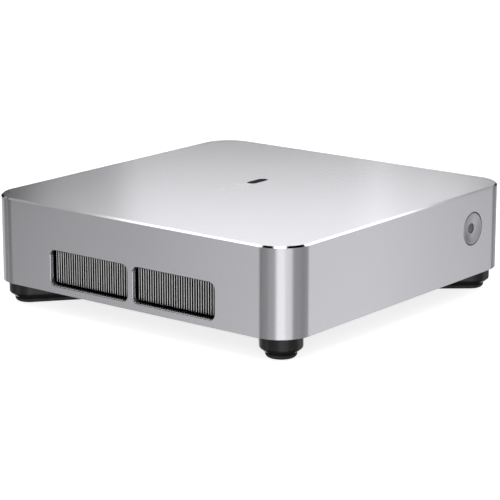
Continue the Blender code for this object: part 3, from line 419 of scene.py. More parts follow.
def edges_at(body, letter, level):
    """The edges of a body that lie in one plane across an axis."""
    index = "XYZ".index(letter)
    return [e for e in body.edges if all(abs(v.co[index] - level) < 0.005 * MM for v in e.verts)]


def sharp_edges(body):
    """The edges of a body where its faces turn by more than SHARP."""
    return [e for e in body.edges if len(e.link_faces) == 2 and e.calc_face_angle(0.0) > SHARP]


def rounded_block(low, high, letter, radius, segments):
    """A block with its edges along one axis rounded."""
    body = box_body(low, high)
    soften(body, edges_along(body, letter), radius, segments)
    return body


def round_body(profile, steps, place):
    """A full turn of a profile of (radius, height) points about Z, then moved to its place."""
    body = bmesh.new()
    points = [body.verts.new((radius, 0.0, height)) for radius, height in profile]
    edges = [body.edges.new(pair) for pair in zip(points, points[1:])]
    if profile[0][0] > 0.0:
        edges.append(body.edges.new((points[-1], points[0])))
    bmesh.ops.spin(
        body,
        geom=points + edges,
        cent=(0.0, 0.0, 0.0),
        axis=(0.0, 0.0, 1.0),
        angle=math.tau,
        steps=steps,
        use_merge=True,
    )
    bmesh.ops.remove_doubles(body, verts=body.verts, dist=0.0005 * MM)
    bmesh.ops.recalc_face_normals(body, faces=body.faces)
    bmesh.ops.transform(body, matrix=place, verts=body.verts)
    return body


def hull_body(rings):
    """The closed solid stretched over rings of (x, radius, height), with its flat faces whole."""
    body = bmesh.new()
    for x, radius, height in rings:
        bmesh.ops.create_circle(body, segments=56, radius=radius, matrix=Matrix.Translation((x, 0.0, height)))
    hull = bmesh.ops.convex_hull(body, input=body.verts, use_existing_faces=False)
    unused = hull["geom_interior"] + hull["geom_unused"]
    spare = [item for item in unused if isinstance(item, bmesh.types.BMVert)]
    bmesh.ops.delete(body, geom=spare, context="VERTS")
    loose = [edge for edge in body.edges if not edge.link_faces]
    bmesh.ops.delete(body, geom=loose, context="EDGES")
    bmesh.ops.dissolve_limit(body, angle_limit=math.radians(0.6), verts=body.verts, edges=body.edges)
    bmesh.ops.recalc_face_normals(body, faces=body.faces)
    return body


def push_in(body, face, inset, depth):
    """Inset a face and press its middle in (or out, with a negative depth) along its normal."""
    bmesh.ops.inset_region(body, faces=[face], thickness=inset, use_even_offset=True)
    push = -face.normal * depth
    made = bmesh.ops.extrude_discrete_faces(body, faces=[face])["faces"][0]
    bmesh.ops.translate(body, verts=made.verts, vec=push)
    return made


def face_towards(body, direction):
    """The largest face whose normal points a way."""
    towards = [f for f in body.faces if f.normal.dot(direction) > 0.999]
    return max(towards, key=lambda f: (round(f.calc_center_median().dot(direction), 6), f.calc_area()))


def make_piece(name, body, materials, angle=30.0):
    """Make a body an object with its materials, smooth but for its sharp edges."""
    mesh = bpy.data.meshes.new(name)
    body.to_mesh(mesh)
    body.free()
    for material in materials:
        mesh.materials.append(finish(material))
    mesh.shade_smooth()
    mesh.set_sharp_from_angle(angle=math.radians(angle))
    piece = bpy.data.objects.new(name, mesh)
    bpy.context.scene.collection.objects.link(piece)
    return piece


def carve(piece, tools, operation="DIFFERENCE"):
    """Cut bodies out of a piece, or join them on, for good."""
    for body in tools:
        mesh = bpy.data.meshes.new("tool")
        body.to_mesh(mesh)
        body.free()
        tool = bpy.data.objects.new("tool", mesh)
        bpy.context.scene.collection.objects.link(tool)
        modifier = piece.modifiers.new("cut", "BOOLEAN")
        modifier.object = tool
        modifier.operation = operation
        modifier.solver = "EXACT"
        cut = bpy.data.meshes.new_from_object(piece.evaluated_get(bpy.context.evaluated_depsgraph_get()))
        piece.modifiers.clear()
        spent = piece.data
        piece.data = cut
        bpy.data.meshes.remove(spent)
        bpy.data.objects.remove(tool)
        bpy.data.meshes.remove(mesh)
    piece.data.name = piece.name


def fit(piece, body, slot, *nodes):
    """Put a piece on its body in place of CAD nodes. The slot argument is not used."""
    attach(piece, body)
    if nodes:
        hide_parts(*nodes)
    return piece


def joined(bodies):
    """Several bodies in one."""
    whole = bmesh.new()
    for body in bodies:
        mesh = bpy.data.meshes.new("part")
        body.to_mesh(mesh)
        body.free()
        whole.from_mesh(mesh)
        bpy.data.meshes.remove(mesh)
    return whole


def ease_edges(piece, amount, segments, wanted=None):
    """Round every sharp edge of a piece, or only the wanted ones."""
    body = bmesh.new()
    body.from_mesh(piece.data)
    bmesh.ops.dissolve_limit(body, angle_limit=math.radians(0.2), verts=body.verts, edges=body.edges)
    soften(body, [edge for edge in sharp_edges(body) if wanted is None or wanted(edge)], amount, segments)
    body.to_mesh(piece.data)
    body.free()
    piece.data.set_sharp_from_angle(angle=CREASE)


def settle(piece):
    """Let the large flat faces of a piece keep their own shading beside its round edges."""
    modifier = piece.modifiers.new("shading", "WEIGHTED_NORMAL")
    modifier.keep_sharp = True
    return piece


# ---------------------------------------------------------------- settings
def length(name, value, description):
    """A setting that is a length, given in millimetres."""
    return FloatProperty(name=name, description=description, default=value * MM, unit="LENGTH")


def lengths(name, values, description):
    """A setting that is a pair of lengths, given in millimetres."""
    first, second = values
    return FloatVectorProperty(
        name=name, description=description, size=2, default=(first * MM, second * MM), unit="LENGTH"
    )


def count(name, value, description):
    """A setting that is a whole number."""
    return IntProperty(name=name, description=description, default=value)


class CaseSettings(PropertyGroup):
    """Shape of the case, as far as the frame's boxes don't give it."""

    corner_radius: length("Corner radius", 11.5, "Radius of the four upright corners")
    chamfer: length("Chamfer", 0.6, "Width of the polished chamfer round the roof")
    wall: length("Wall", 1.6, "Thickness of the side walls")
    roof: length("Roof", 1.8, "Thickness of the roof")
    vent_size: lengths("Vent size", (33.9, 11.95), "Width and height of a vent")
    vent_sill: length("Vent sill", 2.65, "Height of the vents over the case's edge")
    vent_radius: length("Vent radius", 2.0, "Corner radius of a vent")
    panel_size: lengths("Rear opening", (104.0, 22.4), "Width and height of the rear opening")
    button_gap: length("Button gap", 0.2, "Gap round the button")
    edge: length("Edge", 0.12, "Radius of small broken edges")
    vent_edge: length("Vent edge", 0.45, "Radius of the vents' outer edges")
    corner_segments: count("Corner segments", 28, "Facets of one upright corner")
    mark_centre: lengths("Mark centre", (1.75, 4.6), "Middle of the ring and bar on the roof")
    mark_height: length("Mark height", 3.6, "Height of the ring and bar")
    mark_film: length("Mark film", 0.04, "Depth of the mark's pockets")
    foot_post: length("Foot post", 3.2, "Radius of the posts that take the foot screws")
    board_post: length("Board post", 2.6, "Radius of the posts that take the board's screws")
    thread: length("Thread", 1.6, "Radius of the holes in the posts")
    board: length("Board", 1.6, "Thickness of the main board")
    play: length("Play", 0.3, "Gap under the posts")


class FootSettings(PropertyGroup):
    """Shape of a drop-shaped foot."""

    ring_radius: length("Ring radius", 7.0, "Radius of the round end")
    tail_radius: length("Tail radius", 4.4, "Radius of the slim end")
    tail_reach: length("Tail reach", 25.6, "Distance between the two ends' centres")
    bevel_drop: length("Bevel drop", 1.6, "Height of the slanted part")
    bevel_inset: length("Bevel inset", 1.85, "Width of the slanted part")
    pad_inset: length("Pad inset", 1.9, "Distance of the pad from the ring")
    pad_edge: length("Pad edge", 1.3, "Radius of the pad's lower edge")
    plug_inset: length("Plug inset", 2.6, "Distance of the pad's plug from the ring")
    groove: length("Groove", 0.2, "Gap over the pad")
    play: length("Play", 0.3, "Gap round the pad's plug")
    edge: length("Edge", 0.15, "Radius of small broken edges")
    knee_edge: length("Knee edge", 0.35, "Radius where the slanted part begins")


class ButtonSettings(PropertyGroup):
    """Shape of the power button."""

    radius: length("Radius", 5.6, "Radius of the cap")
    dish: length("Dish", 0.8, "Depth of the hollow face")
    rim: length("Rim", 0.45, "Width of the rounded rim")
    lens_gap: length("Lens gap", 0.08, "Gap round the light guide")
    flange: length("Flange", 0.9, "Thickness of the flange behind the wall")


class CoolingSettings(PropertyGroup):
    """Shape of the fins and of the slots under the fan."""

    fins: count("Fins", 34, "Fins in one stack")
    fin_thickness: length("Fin thickness", 0.3, "Thickness of a fin")
    fin_plate: length("Fin plate", 0.5, "Thickness of the plate over the fins")
    slots: count("Slots", 13, "Intake slots in the bottom cover")
    slot_pitch: length("Slot pitch", 4.0, "Distance from slot to slot")
    slot_width: length("Slot width", 2.2, "Width of a slot")
    slot_field: length("Slot field", 52.0, "Diameter of the slotted field")


class PortSettings(PropertyGroup):
    """Shape of the connectors' insides."""

    skin: length("Skin", 0.6, "Thickness of the sheet shells")
    setback: length("Setback", 1.5, "Distance of the tongues from the mouth")
    back: length("Back", 2.0, "Thickness of the back wall")
    gap: length("Gap", 0.3, "Gap round a port in the panel")


class StageSettings(PropertyGroup):
    """Camera and lights."""

    target: FloatVectorProperty(
        name="Target", description="Point that the camera looks at", size=3,
        default=(-23.8 * MM, -17.85 * MM, 22.6 * MM), subtype="XYZ",
    )
    camera: FloatVectorProperty(
        name="Camera", description="Where the camera stands", size=3,
        default=(-557.4 * MM, -438.4 * MM, 192.3 * MM), subtype="XYZ",
    )
    lens: FloatProperty(name="Lens", description="Focal length in millimetres", default=151.9)
    floor_size: FloatProperty(name="Floor size", description="Side of the floor", default=6.0, unit="LENGTH")


SETTINGS = {
    "mini_pc_case": CaseSettings,
    "mini_pc_feet": FootSettings,
    "mini_pc_button": ButtonSettings,
    "mini_pc_cooling": CoolingSettings,
    "mini_pc_ports": PortSettings,
    "mini_pc_stage": StageSettings,
}


# ---------------------------------------------------------------- case
class MINIPC_OT_case(Operator):
    """Aluminium case with its vents, rear opening, polished chamfer and the mark on its roof"""

    bl_idname = "mini_pc.case"
    bl_label = "Case"

    def execute(self, context):
        s = context.scene.mini_pc_case
        low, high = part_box("top_shell")
        body = rounded_block(low, high, "Z", s.corner_radius, s.corner_segments)
        for face in soften(body, edges_at(body, "Z", high.z), s.chamfer, 1):
            face.material_index = 1
        case = make_piece("case", body, ["satin_aluminium", "polished_edge"])
        inset = Vector((s.wall, s.wall, 0.0))
        floor = Vector((0.0, 0.0, s.wall))
        inner = rounded_block(
            low + inset - floor,
            high - inset - Vector((0.0, 0.0, s.roof)),
            "Z",
            s.corner_radius - s.wall,
            s.corner_segments,
        )
        carve(case, [inner])
        carve(case, [joined(self.vents(s, low))])

        def outer_window(edge):
            return all(v.co.x < low.x + MM and v.co.z > low.z + MM for v in edge.verts)

        ease_edges(case, s.vent_edge, 3, outer_window)
        carve(case, [joined([self.button_hole(s, low), self.rear_opening(s, high)])])
        ease_edges(case, s.edge, 2)
        ring, bar, pockets = self.mark(s, high)
        carve(case, [joined(pockets)])
        case.data.set_sharp_from_angle(angle=CREASE)
        settle(fit(case, "case", "case_aluminium", "top_shell"))
        for name, body, ink in (("mark_ring", ring, "white_ink"), ("mark_dot", bar, "black_ink")):
            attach(make_piece(name, joined([body]), [ink]), "case")
        self.posts(s, high)
        return {"FINISHED"}

    @staticmethod
    def vents(s, low):
        """The two windows through the left wall, before the fin stacks."""
        width, height = s.vent_size
        tools = []
        for stack in ("fin_stack_front", "fin_stack_rear"):
            middle = centre(*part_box(stack))
            corner = Vector((low.x - s.wall, middle.y - width / 2, low.z + s.vent_sill))
            reach = Vector((3 * s.wall, width, height))
            tools.append(rounded_block(corner, corner + reach, "X", s.vent_radius, 8))
        return tools

    @staticmethod
    def button_hole(s, low):
        """The round hole for the button through the front wall."""
        button = bpy.context.scene.mini_pc_button
        middle = centre(*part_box("power_button"))
        radius = button.radius + s.button_gap
        profile = [(0.0, -s.wall), (radius, -s.wall), (radius, 2 * s.wall), (0.0, 2 * s.wall)]
        place = Matrix.Translation((middle.x, low.y + s.wall / 2, middle.z)) @ FACE_FRONT
        return round_body(profile, 96, place)

    @staticmethod
    def rear_opening(s, high):
        """The opening in the rear wall for the connector panel."""
        width, height = s.panel_size
        middle = centre(*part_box("rear_panel"))
        low = Vector((middle.x - width / 2, high.y - 2 * s.wall, middle.z - height / 2))
        return rounded_block(low, low + Vector((width, 3 * s.wall, height)), "Y", 2.0 * MM, 8)

    @staticmethod
    def mark(s, high):
        """A plain ring and a plain bar laid flush in the roof, and the pockets that hold them."""
        x, y = s.mark_centre
        size = s.mark_height
        film = s.mark_film
        line = 0.16 * size
        start, split, end = x - 3.3 * size, x + 0.35 * size, x + 3.3 * size
        second = split + 0.35 * size

        def bar(left, right, half, low, top):
            near, far = Vector((left, y - half, low)), Vector((right, y + half, top))
            return rounded_block(near, far, "Z", 0.98 * half, 10)

        def ring(low, top):
            piece = make_piece("ring", bar(start, split, size / 2, low, top), ["white_ink"])
            carve(piece, [bar(start + line, split - line, size / 2 - line, low - film, top + film)])
            body = bmesh.new()
            body.from_mesh(piece.data)
            bpy.data.objects.remove(piece)
            return body

        low = high.z - film
        top = high.z - 0.1 * film
        above = high.z + film
        pockets = [ring(low, above), bar(second, end, size / 2, low, above)]
        return ring(low, top), bar(second, end, size / 2, low, top), pockets

    @staticmethod
    def posts(s, high):
        """The round posts inside the roof that take the foot screws and the main board's screws."""
        kinds = (
            ("foot_screw_", s.foot_post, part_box("bottom_cover")[1].z),
            ("board_screw_", s.board_post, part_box("main_board")[0].z + s.board),
        )
        roof = high.z - s.roof
        bodies = []
        for corner in CORNERS:
            for screw, radius, seat in kinds:
                screw_low, screw_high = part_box(screw + corner)
                middle = centre(screw_low, screw_high)
                bottom = seat + s.play
                deep = screw_high.z + 0.4 * MM
                profile = [(0.0, roof), (radius, roof), (radius, bottom + s.edge), (radius - s.edge, bottom)]
                profile += [(s.thread, bottom), (s.thread, deep), (0.0, deep)]
                bodies.append(round_body(profile, 32, Matrix.Translation((middle.x, middle.y, 0.0))))
        fit(make_piece("case_posts", joined(bodies), ["satin_aluminium"]), "case", "case_aluminium")


class MINIPC_OT_bottom(Operator):
    """Bottom cover with its round field of intake slots"""

    bl_idname = "mini_pc.bottom"
    bl_label = "Bottom cover"

    def execute(self, context):
        s = context.scene.mini_pc_cooling
        low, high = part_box("bottom_cover")
        fan = centre(*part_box("fan_impeller"))
        case = context.scene.mini_pc_case
        radius = case.corner_radius - case.wall - 0.25 * MM
        body = rounded_block(low, high, "Z", radius, 16)
        cover = make_piece("bottom_plate", body, ["black_plastic"])
        tools = []
        for index in range(s.slots):
            along = (index - (s.slots - 1) / 2) * s.slot_pitch
            reach = math.sqrt((s.slot_field / 2) ** 2 - along ** 2)
            corner = Vector((fan.x + along - s.slot_width / 2, fan.y - reach, low.z - MM))
            size = Vector((s.slot_width, 2 * reach, high.z - low.z + 2 * MM))
            tools.append(rounded_block(corner, corner + size, "Z", 0.49 * s.slot_width, 6))
        for corner in CORNERS:
            middle = centre(*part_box("foot_screw_" + corner))
            under, over = low.z - MM, high.z + MM
            profile = [(0.0, under), (case.thread, under), (case.thread, over), (0.0, over)]
            tools.append(round_body(profile, 24, Matrix.Translation((middle.x, middle.y, 0.0))))
        carve(cover, [joined(tools)])
        ease_edges(cover, 0.2 * MM, 2)
        settle(fit(cover, "case", "black_plastic", "bottom_cover"))
        return {"FINISHED"}


# ---------------------------------------------------------------- feet
class MINIPC_OT_feet(Operator):
    """Four drop-shaped feet with rubber pads let into them"""

    bl_idname = "mini_pc.feet"
    bl_label = "Feet"

    def execute(self, context):
        s = context.scene.mini_pc_feet
        for corner in CORNERS:
            self.foot(s, corner)
        return {"FINISHED"}

    @staticmethod
    def place(s, corner, outer):
        """The foot's own place: its round end about the origin, its tail inwards along -X."""
        low, high = outer
        side_x = 1 if "right" in corner else -1
        side_y = 1 if "rear" in corner else -1
        x = (high.x if side_x > 0 else low.x) - side_x * s.ring_radius
        y = (high.y if side_y > 0 else low.y) - side_y * s.ring_radius
        return Matrix.Translation((x, y, 0.0)) @ Matrix.Rotation(math.atan2(side_y, side_x), 4, "Z")

    @staticmethod
    def drop(s, rings):
        """A drop-shaped solid through rings of (inset, height)."""
        ends = ((0.0, s.ring_radius), (-s.tail_reach, s.tail_radius))
        return hull_body([(x, radius - inset, height) for inset, height in rings for x, radius in ends])

    def foot(self, s, corner):
        """One base with its pocket, and its pad with the plug that sits in the pocket."""
        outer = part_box("foot_base_" + corner)
        place = self.place(s, corner, outer)
        low, high = outer[0].z, outer[1].z
        knee = low + s.bevel_drop
        body = self.drop(s, [(s.bevel_inset, low), (0.0, knee), (0.0, high)])
        pocket = face_towards(body, Vector((0.0, 0.0, -1.0)))
        pocket_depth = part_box("foot_pad_" + corner)[1].z - low + s.play
        push_in(body, pocket, s.plug_inset - s.bevel_inset - s.play, pocket_depth)
        body.normal_update()
        soften(body, edges_at(body, "Z", knee), s.knee_edge, 3)
        soften(body, edges_at(body, "Z", high), s.edge, 2)
        bmesh.ops.transform(body, matrix=place, verts=body.verts)
        base = make_piece("foot_ring_" + corner, body, ["black_plastic"], 24.0)
        settle(fit(base, "case", "black_plastic", "foot_base_" + corner))
        rings = []
        for step in range(6):
            angle = math.radians(18 * step)
            inset = s.pad_inset + s.pad_edge * (1 - math.sin(angle))
            rings.append((inset, s.pad_edge * (1 - math.cos(angle))))
        top = low - s.groove
        rings.append((s.pad_inset, top - s.edge))
        rings.append((s.pad_inset + s.edge, top))
        pad = self.drop(s, rings)
        lid = face_towards(pad, Vector((0.0, 0.0, 1.0)))
        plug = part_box("foot_pad_" + corner)[1].z
        push_in(pad, lid, s.plug_inset - s.pad_inset - s.edge, top - plug)
        bmesh.ops.transform(pad, matrix=place, verts=pad.verts)
        piece = make_piece("foot_rubber_" + corner, pad, ["foot_rubber"], 40.0)
        settle(fit(piece, "case", "foot_rubber", "foot_pad_" + corner))


# ---------------------------------------------------------------- button
class MINIPC_OT_button(Operator):
    """Dished power button with its light guide"""

    bl_idname = "mini_pc.button"
    bl_label = "Power button"

    def execute(self, context):
        s = context.scene.mini_pc_button
        low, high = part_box("power_button")
        lens_low, lens_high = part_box("button_lens")
        middle = centre(low, high)
        place = Matrix.Translation((middle.x, low.y, middle.z)) @ FACE_FRONT
        back = low.y - high.y
        flange_radius = (high.x - low.x) / 2
        lens_radius = (lens_high.x - lens_low.x) / 2
        hole = lens_radius + s.lens_gap
        edge = 0.15 * MM
        front = back + s.flange
        profile = [(hole, back), (flange_radius, back), (flange_radius, front), (s.radius, front)]
        profile += [(s.radius, -2 * edge), (s.radius - 0.3 * edge, -edge), (s.radius - edge, -0.3 * edge)]
        profile += [(s.radius - 2 * edge, 0.0)]
        rim = s.radius - s.rim
        for step in range(13):
            reach = rim + (hole - rim) * step / 12
            profile.append((reach, -s.dish * (1 - (reach / rim) ** 2)))
        cap = make_piece("button_cap", round_body(profile, 96, place), ["button_aluminium"], 40.0)
        fit(cap, "power_button", "case_aluminium", "power_button")
        dome = lens_radius - 0.25 * MM
        profile = [(0.0, back), (lens_radius, back), (lens_radius, -s.dish - 0.2 * MM)]
        profile += [(dome, -s.dish - 0.06 * MM), (dome * 0.6, -s.dish), (0.0, -s.dish + 0.02 * MM)]
        lens = make_piece("button_light_guide", round_body(profile, 64, place), ["light_guide"], 40.0)
        fit(lens, "power_button", "lens", "button_lens")
        return {"FINISHED"}


# ---------------------------------------------------------------- cooling
class MINIPC_OT_fins(Operator):
    """Two stacks of upright fins behind the vents"""

    bl_idname = "mini_pc.fins"
    bl_label = "Fin stacks"

    def execute(self, context):
        s = context.scene.mini_pc_cooling
        for node in ("fin_stack_front", "fin_stack_rear"):
            low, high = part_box(node)
            pitch = (high.y - low.y - s.fin_thickness) / (s.fins - 1)
            bodies = []
            for index in range(s.fins):
                start = low.y + index * pitch
                top = Vector((high.x, start + s.fin_thickness, high.z - s.fin_plate * 0.5))
                fin = box_body(Vector((low.x, start, low.z)), top)
                soften(fin, edges_at(fin, "X", low.x), 0.07 * MM, 1)
                bodies.append(fin)
            plate = box_body(Vector((low.x, low.y, high.z - s.fin_plate)), high)
            soften(plate, edges_at(plate, "X", low.x), 0.08 * MM, 1)
            whole = joined(bodies + [plate])
            whole.normal_update()
            # Faces towards the vents keep bright aluminium; every other face gets the near-black painted
            # shade of the gaps.
            for face in whole.faces:
                face.material_index = 1 if face.normal.x < -0.5 else 0
            stack = make_piece(node.replace("stack", "pack"), whole, ["fin_aluminium", "fin_edge"])
            fit(stack, "case", "fin_aluminium", node)
        return {"FINISHED"}


# ---------------------------------------------------------------- rear
class MINIPC_OT_rear(Operator):
    """Plastic connector panel in the rear wall"""

    bl_idname = "mini_pc.rear"
    bl_label = "Rear panel"

    def execute(self, context):
        s = context.scene.mini_pc_ports
        case = context.scene.mini_pc_case
        low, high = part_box("rear_panel")
        middle = centre(low, high)
        width, height = case.panel_size
        gap = 0.25 * MM
        half = Vector((width / 2 - gap, 0.0, height / 2 - gap))
        front = Vector((middle.x, 0.0, middle.z))
        rise = high.y - case.wall - 0.3 * MM
        plate = rounded_block(
            front - half + Vector((0.0, rise - 0.5 * MM, 0.0)),
            front + half + Vector((0.0, high.y, 0.0)),
            "Y", 1.75 * MM, 8,
        )
        flange = rounded_block(low, Vector((high.x, rise, high.z)), "Y", 2.0 * MM, 8)
        panel = make_piece("connector_panel", plate, ["black_plastic"])
        carve(panel, [flange], "UNION")
        tools = []
        for name in PORTS:
            port_low, port_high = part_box(name)
            grow = Vector((s.gap, MM, s.gap))
            start = Vector((port_low.x, low.y, port_low.z)) - grow
            end = Vector((port_high.x, high.y, port_high.z)) + grow
            tools.append(rounded_block(start, end, "Y", s.skin + s.gap, 4))
        carve(panel, [joined(tools)])
        ease_edges(panel, 0.18 * MM, 2)
        settle(fit(panel, "case", "black_plastic", "rear_panel"))
        return {"FINISHED"}


# Connectors of the rear panel, and the kind of each.
PORTS = {
    "power_inlet": "inlet",
    "usb_c_port": "type_c",
    "hdmi_stack": "display",
    "ethernet_jack": "network",
    "usb_stack_a": "usb",
    "usb_stack_b": "usb",
    "audio_jack": "audio",
}
# For each kind: mouths, distance between them, width, height, thickness of the tongue, contacts.
MOUTHS = {
    "usb": (2, 7.4 * MM, 12.6 * MM, 5.2 * MM, 1.9 * MM, 4),
    "display": (2, 6.6 * MM, 14.0 * MM, 4.6 * MM, 1.2 * MM, 10),
    "type_c": (1, 0.0, 8.4 * MM, 2.6 * MM, 0.7 * MM, 6),
    "network": (1, 0.0, 11.8 * MM, 8.4 * MM, 0.0, 8),
}


class MINIPC_OT_ports(Operator):
    """Connectors of the rear panel with their tongues, contacts and springs"""

    bl_idname = "mini_pc.ports"
    bl_label = "Connectors"

    def execute(self, context):
        s = context.scene.mini_pc_ports
        for name, kind in PORTS.items():
            if kind in MOUTHS:
                self.socket(s, name, kind)
            else:
                self.barrel(s, name, kind)
        return {"FINISHED"}

    @staticmethod
    def mouths(kind, middle):
        """The middles of a connector's mouths."""
        count, rise = MOUTHS[kind][:2]
        return [middle + Vector((0.0, 0.0, (index - (count - 1) / 2) * rise)) for index in range(count)]

    def socket(self, s, name, kind):
        """A sheet shell with one or two mouths, their tongues, springs and contacts."""
        low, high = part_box(name)
        middle = centre(low, high)
        width, height, tongue, count = MOUTHS[kind][2:]
        radius = 1.28 * MM if kind == "type_c" else s.skin
        metal = make_piece(name + "_shell", rounded_block(low, high, "Y", s.skin, 4), ["port_steel"])
        tools, tongues, contacts, springs = [], [], [], []
        for mouth in self.mouths(kind, middle):
            size = Vector((width, 0.0, height)) / 2
            start = Vector((mouth.x, low.y + s.back, mouth.z)) - size
            tool = box_body(start, Vector((mouth.x, high.y + MM, mouth.z)) + size)
            lower = [e for e in edges_along(tool, "Y") if e.verts[0].co.z < mouth.z]
            upper = [e for e in edges_along(tool, "Y") if e.verts[0].co.z > mouth.z]
            if kind == "display":
                soften(tool, lower, 1.6 * MM, 1)
            else:
                soften(tool, lower, radius, 5)
            soften(tool, [e for e in upper if e.is_valid], min(radius, 1.28 * MM), 5)
            tools.append(tool)
            if tongue:
                reach = Vector((width / 2 - tongue, 0.0, tongue / 2))
                base = Vector((mouth.x, low.y + s.back / 2, mouth.z)) - reach
                tip = Vector((mouth.x, high.y - s.setback, mouth.z)) + reach
                bar = box_body(base, tip)
                soften(bar, edges_at(bar, "Y", tip.y), 0.3 * tongue, 2)
                tongues.append(bar)
                contacts += self.contacts(mouth, width - 2.6 * tongue, tongue, count, tip.y, low.y + s.back)
            if kind == "usb":
                springs += self.springs(mouth, height, high.y)
        carve(metal, [joined(tools)])
        ease_edges(metal, 0.1 * MM, 2)
        settle(fit(metal, "case", "port_steel", name))
        if kind == "network":
            tongues, contacts = self.network(middle, width, height, low.y + s.back, high.y)
        fit(make_piece(name + "_tongue", joined(tongues), ["inner_plastic"]), "case", "port_plastic")
        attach(make_piece(name + "_contacts", joined(contacts), ["gold"]), "case")
        if springs:
            fit(make_piece(name + "_springs", joined(springs), ["port_steel"]), "case", "port_steel")

    @staticmethod
    def contacts(mouth, width, tongue, count, tip, back):
        """Flat contacts in a row on the lower face of a tongue."""
        pitch = width / count
        bars = []
        for index in range(count):
            x = mouth.x + (index - (count - 1) / 2) * pitch
            z = mouth.z - tongue / 2
            low = Vector((x - 0.28 * pitch, back, z - 0.06 * MM))
            bars.append(box_body(low, Vector((x + 0.28 * pitch, tip - 0.7 * MM, z + 0.06 * MM))))
        return bars

    @staticmethod
    def springs(mouth, height, face):
        """Two sprung tabs bent inwards from the top and from the bottom of a mouth."""
        tabs = []
        for side in (-1, 1):
            for offset in (-3.0 * MM, 3.0 * MM):
                size = Vector((1.1 * MM, 2.2 * MM, 0.12 * MM))
                tab = box_body(-size, size)
                turn = Matrix.Rotation(side * math.radians(7), 4, "X")
                place = Vector((mouth.x + offset, face - 4.2 * MM, mouth.z + side * (height / 2 - 0.35 * MM)))
                bmesh.ops.transform(tab, matrix=Matrix.Translation(place) @ turn, verts=tab.verts)
                tabs.append(tab)
        return tabs

    @staticmethod
    def network(middle, width, height, back, face):
        """The liner of the network socket with its latch step, and eight sprung wires."""
        top = middle.z + height / 2
        deep = Vector((width / 2 - 0.05 * MM, 0.0, 0.0))
        liner = box_body(
            Vector((middle.x, back + 0.05 * MM, middle.z - height / 2 + 0.05 * MM)) - deep,
            Vector((middle.x, back + 3.0 * MM, top - 0.05 * MM)) + deep,
        )
        steps = [liner]
        size = Vector((1.5 * MM, 0.0, 0.7 * MM))
        rest = middle.z - height / 2 + 0.8 * MM
        for side in (-1, 1):
            shelf = middle.x + side * (width / 2 - 1.6 * MM)
            low = Vector((shelf, back + 2.0 * MM, rest)) - size
            steps.append(box_body(low, Vector((shelf, face - 0.8 * MM, rest)) + size))
        wires = []
        for index in range(8):
            size = Vector((0.16 * MM, 4.4 * MM, 0.14 * MM))
            wire = box_body(-size, size)
            turn = Matrix.Rotation(math.radians(16), 4, "X")
            place = Vector((middle.x + (index - 3.5) * 1.02 * MM, face - 7.0 * MM, top - 1.9 * MM))
            bmesh.ops.transform(wire, matrix=Matrix.Translation(place) @ turn, verts=wire.verts)
            wires.append(wire)
        return steps, wires

    @staticmethod
    def barrel(s, name, kind):
        """A round socket in a square plastic block: the power inlet with its pin, or the audio jack."""
        low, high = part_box(name)
        middle = centre(low, high)
        block = make_piece(name + "_block", rounded_block(low, high, "Y", s.skin, 4), ["inner_plastic"])
        radius = 3.2 * MM if kind == "inlet" else 1.8 * MM
        depth = high.y - low.y - s.back
        place = Matrix.Translation((middle.x, high.y, middle.z)) @ FACE_FRONT
        collar = 0.55 * MM
        rim = radius + collar
        bore = [(0.0, -0.5 * MM), (rim, -0.5 * MM), (rim, 0.9 * MM)]
        bore += [(radius, 0.9 * MM), (radius, depth), (0.0, depth)]
        carve(block, [round_body(bore, 64, place)])
        ease_edges(block, 0.12 * MM, 2)
        settle(fit(block, "case", "port_steel", name))
        wall = 0.25 * MM
        ring = [(radius - wall, 0.15 * MM), (radius, 0.15 * MM), (rim, 0.3 * MM), (rim, 0.85 * MM)]
        ring += [(radius, 0.88 * MM), (radius, depth * 0.8), (radius - wall, depth * 0.8)]
        bodies = [round_body(ring, 64, place)]
        if kind == "inlet":
            pin = 1.0 * MM
            stem = [(0.0, 1.5 * MM), (0.5 * pin, 1.5 * MM), (0.85 * pin, 1.7 * MM), (pin, 2.1 * MM)]
            stem += [(pin, depth + 0.5 * MM), (0.0, depth + 0.5 * MM)]
            bodies.append(round_body(stem, 32, place))
        fit(make_piece(name + "_sleeve", joined(bodies), ["port_steel"]), "case", "port_steel")


# ---------------------------------------------------------------- inner parts
# How a node's name starts, its finish and its material slot.
INNER = (
    ("foot_screw_", "steel", "steel"),
    ("board_screw_", "steel", "steel"),
    ("button_guide", "inner_plastic", "black_plastic"),
    ("switch_plunger", "inner_plastic", "black_plastic"),
    ("power_switch", "steel", "steel"),
    ("blower_", "inner_plastic", "black_plastic"),
    ("fan_impeller", "inner_plastic", "black_plastic"),
    ("fan_bearing", "bronze", "bronze"),
    ("fan_stator", "copper", "copper"),
    ("fan_shaft", "steel", "steel"),
    ("heat_pipe_", "copper", "copper"),
    ("cold_plate", "copper", "copper"),
    ("processor", "chip", "chip"),
    ("main_board", "circuit_board", "circuit_board"),
    ("memory_socket_", "inner_plastic", "black_plastic"),
    ("memory_module_", "circuit_board", "circuit_board"),
    ("drive_socket", "inner_plastic", "black_plastic"),
    ("wireless_socket", "inner_plastic", "black_plastic"),
    ("drive_card", "circuit_board", "circuit_board"),
    ("wireless_card", "circuit_board", "circuit_board"),
    ("drive_post", "steel", "steel"),
    ("coin_cell_holder", "inner_plastic", "black_plastic"),
    ("coin_cell", "steel", "steel"),
    ("antenna_", "copper", "copper"),
)


class MINIPC_OT_inner(Operator):
    """Finishes of the parts inside, which keep the frame's own shapes"""

    bl_idname = "mini_pc.inner"
    bl_label = "Inner parts"

    def execute(self, context):
        for name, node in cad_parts.items():
            if node.hide_render:
                continue
            material, slot = next((m, s) for start, m, s in INNER if name.startswith(start))
            node.data.materials.clear()
            node.data.materials.append(finish(material))
        return {"FINISHED"}


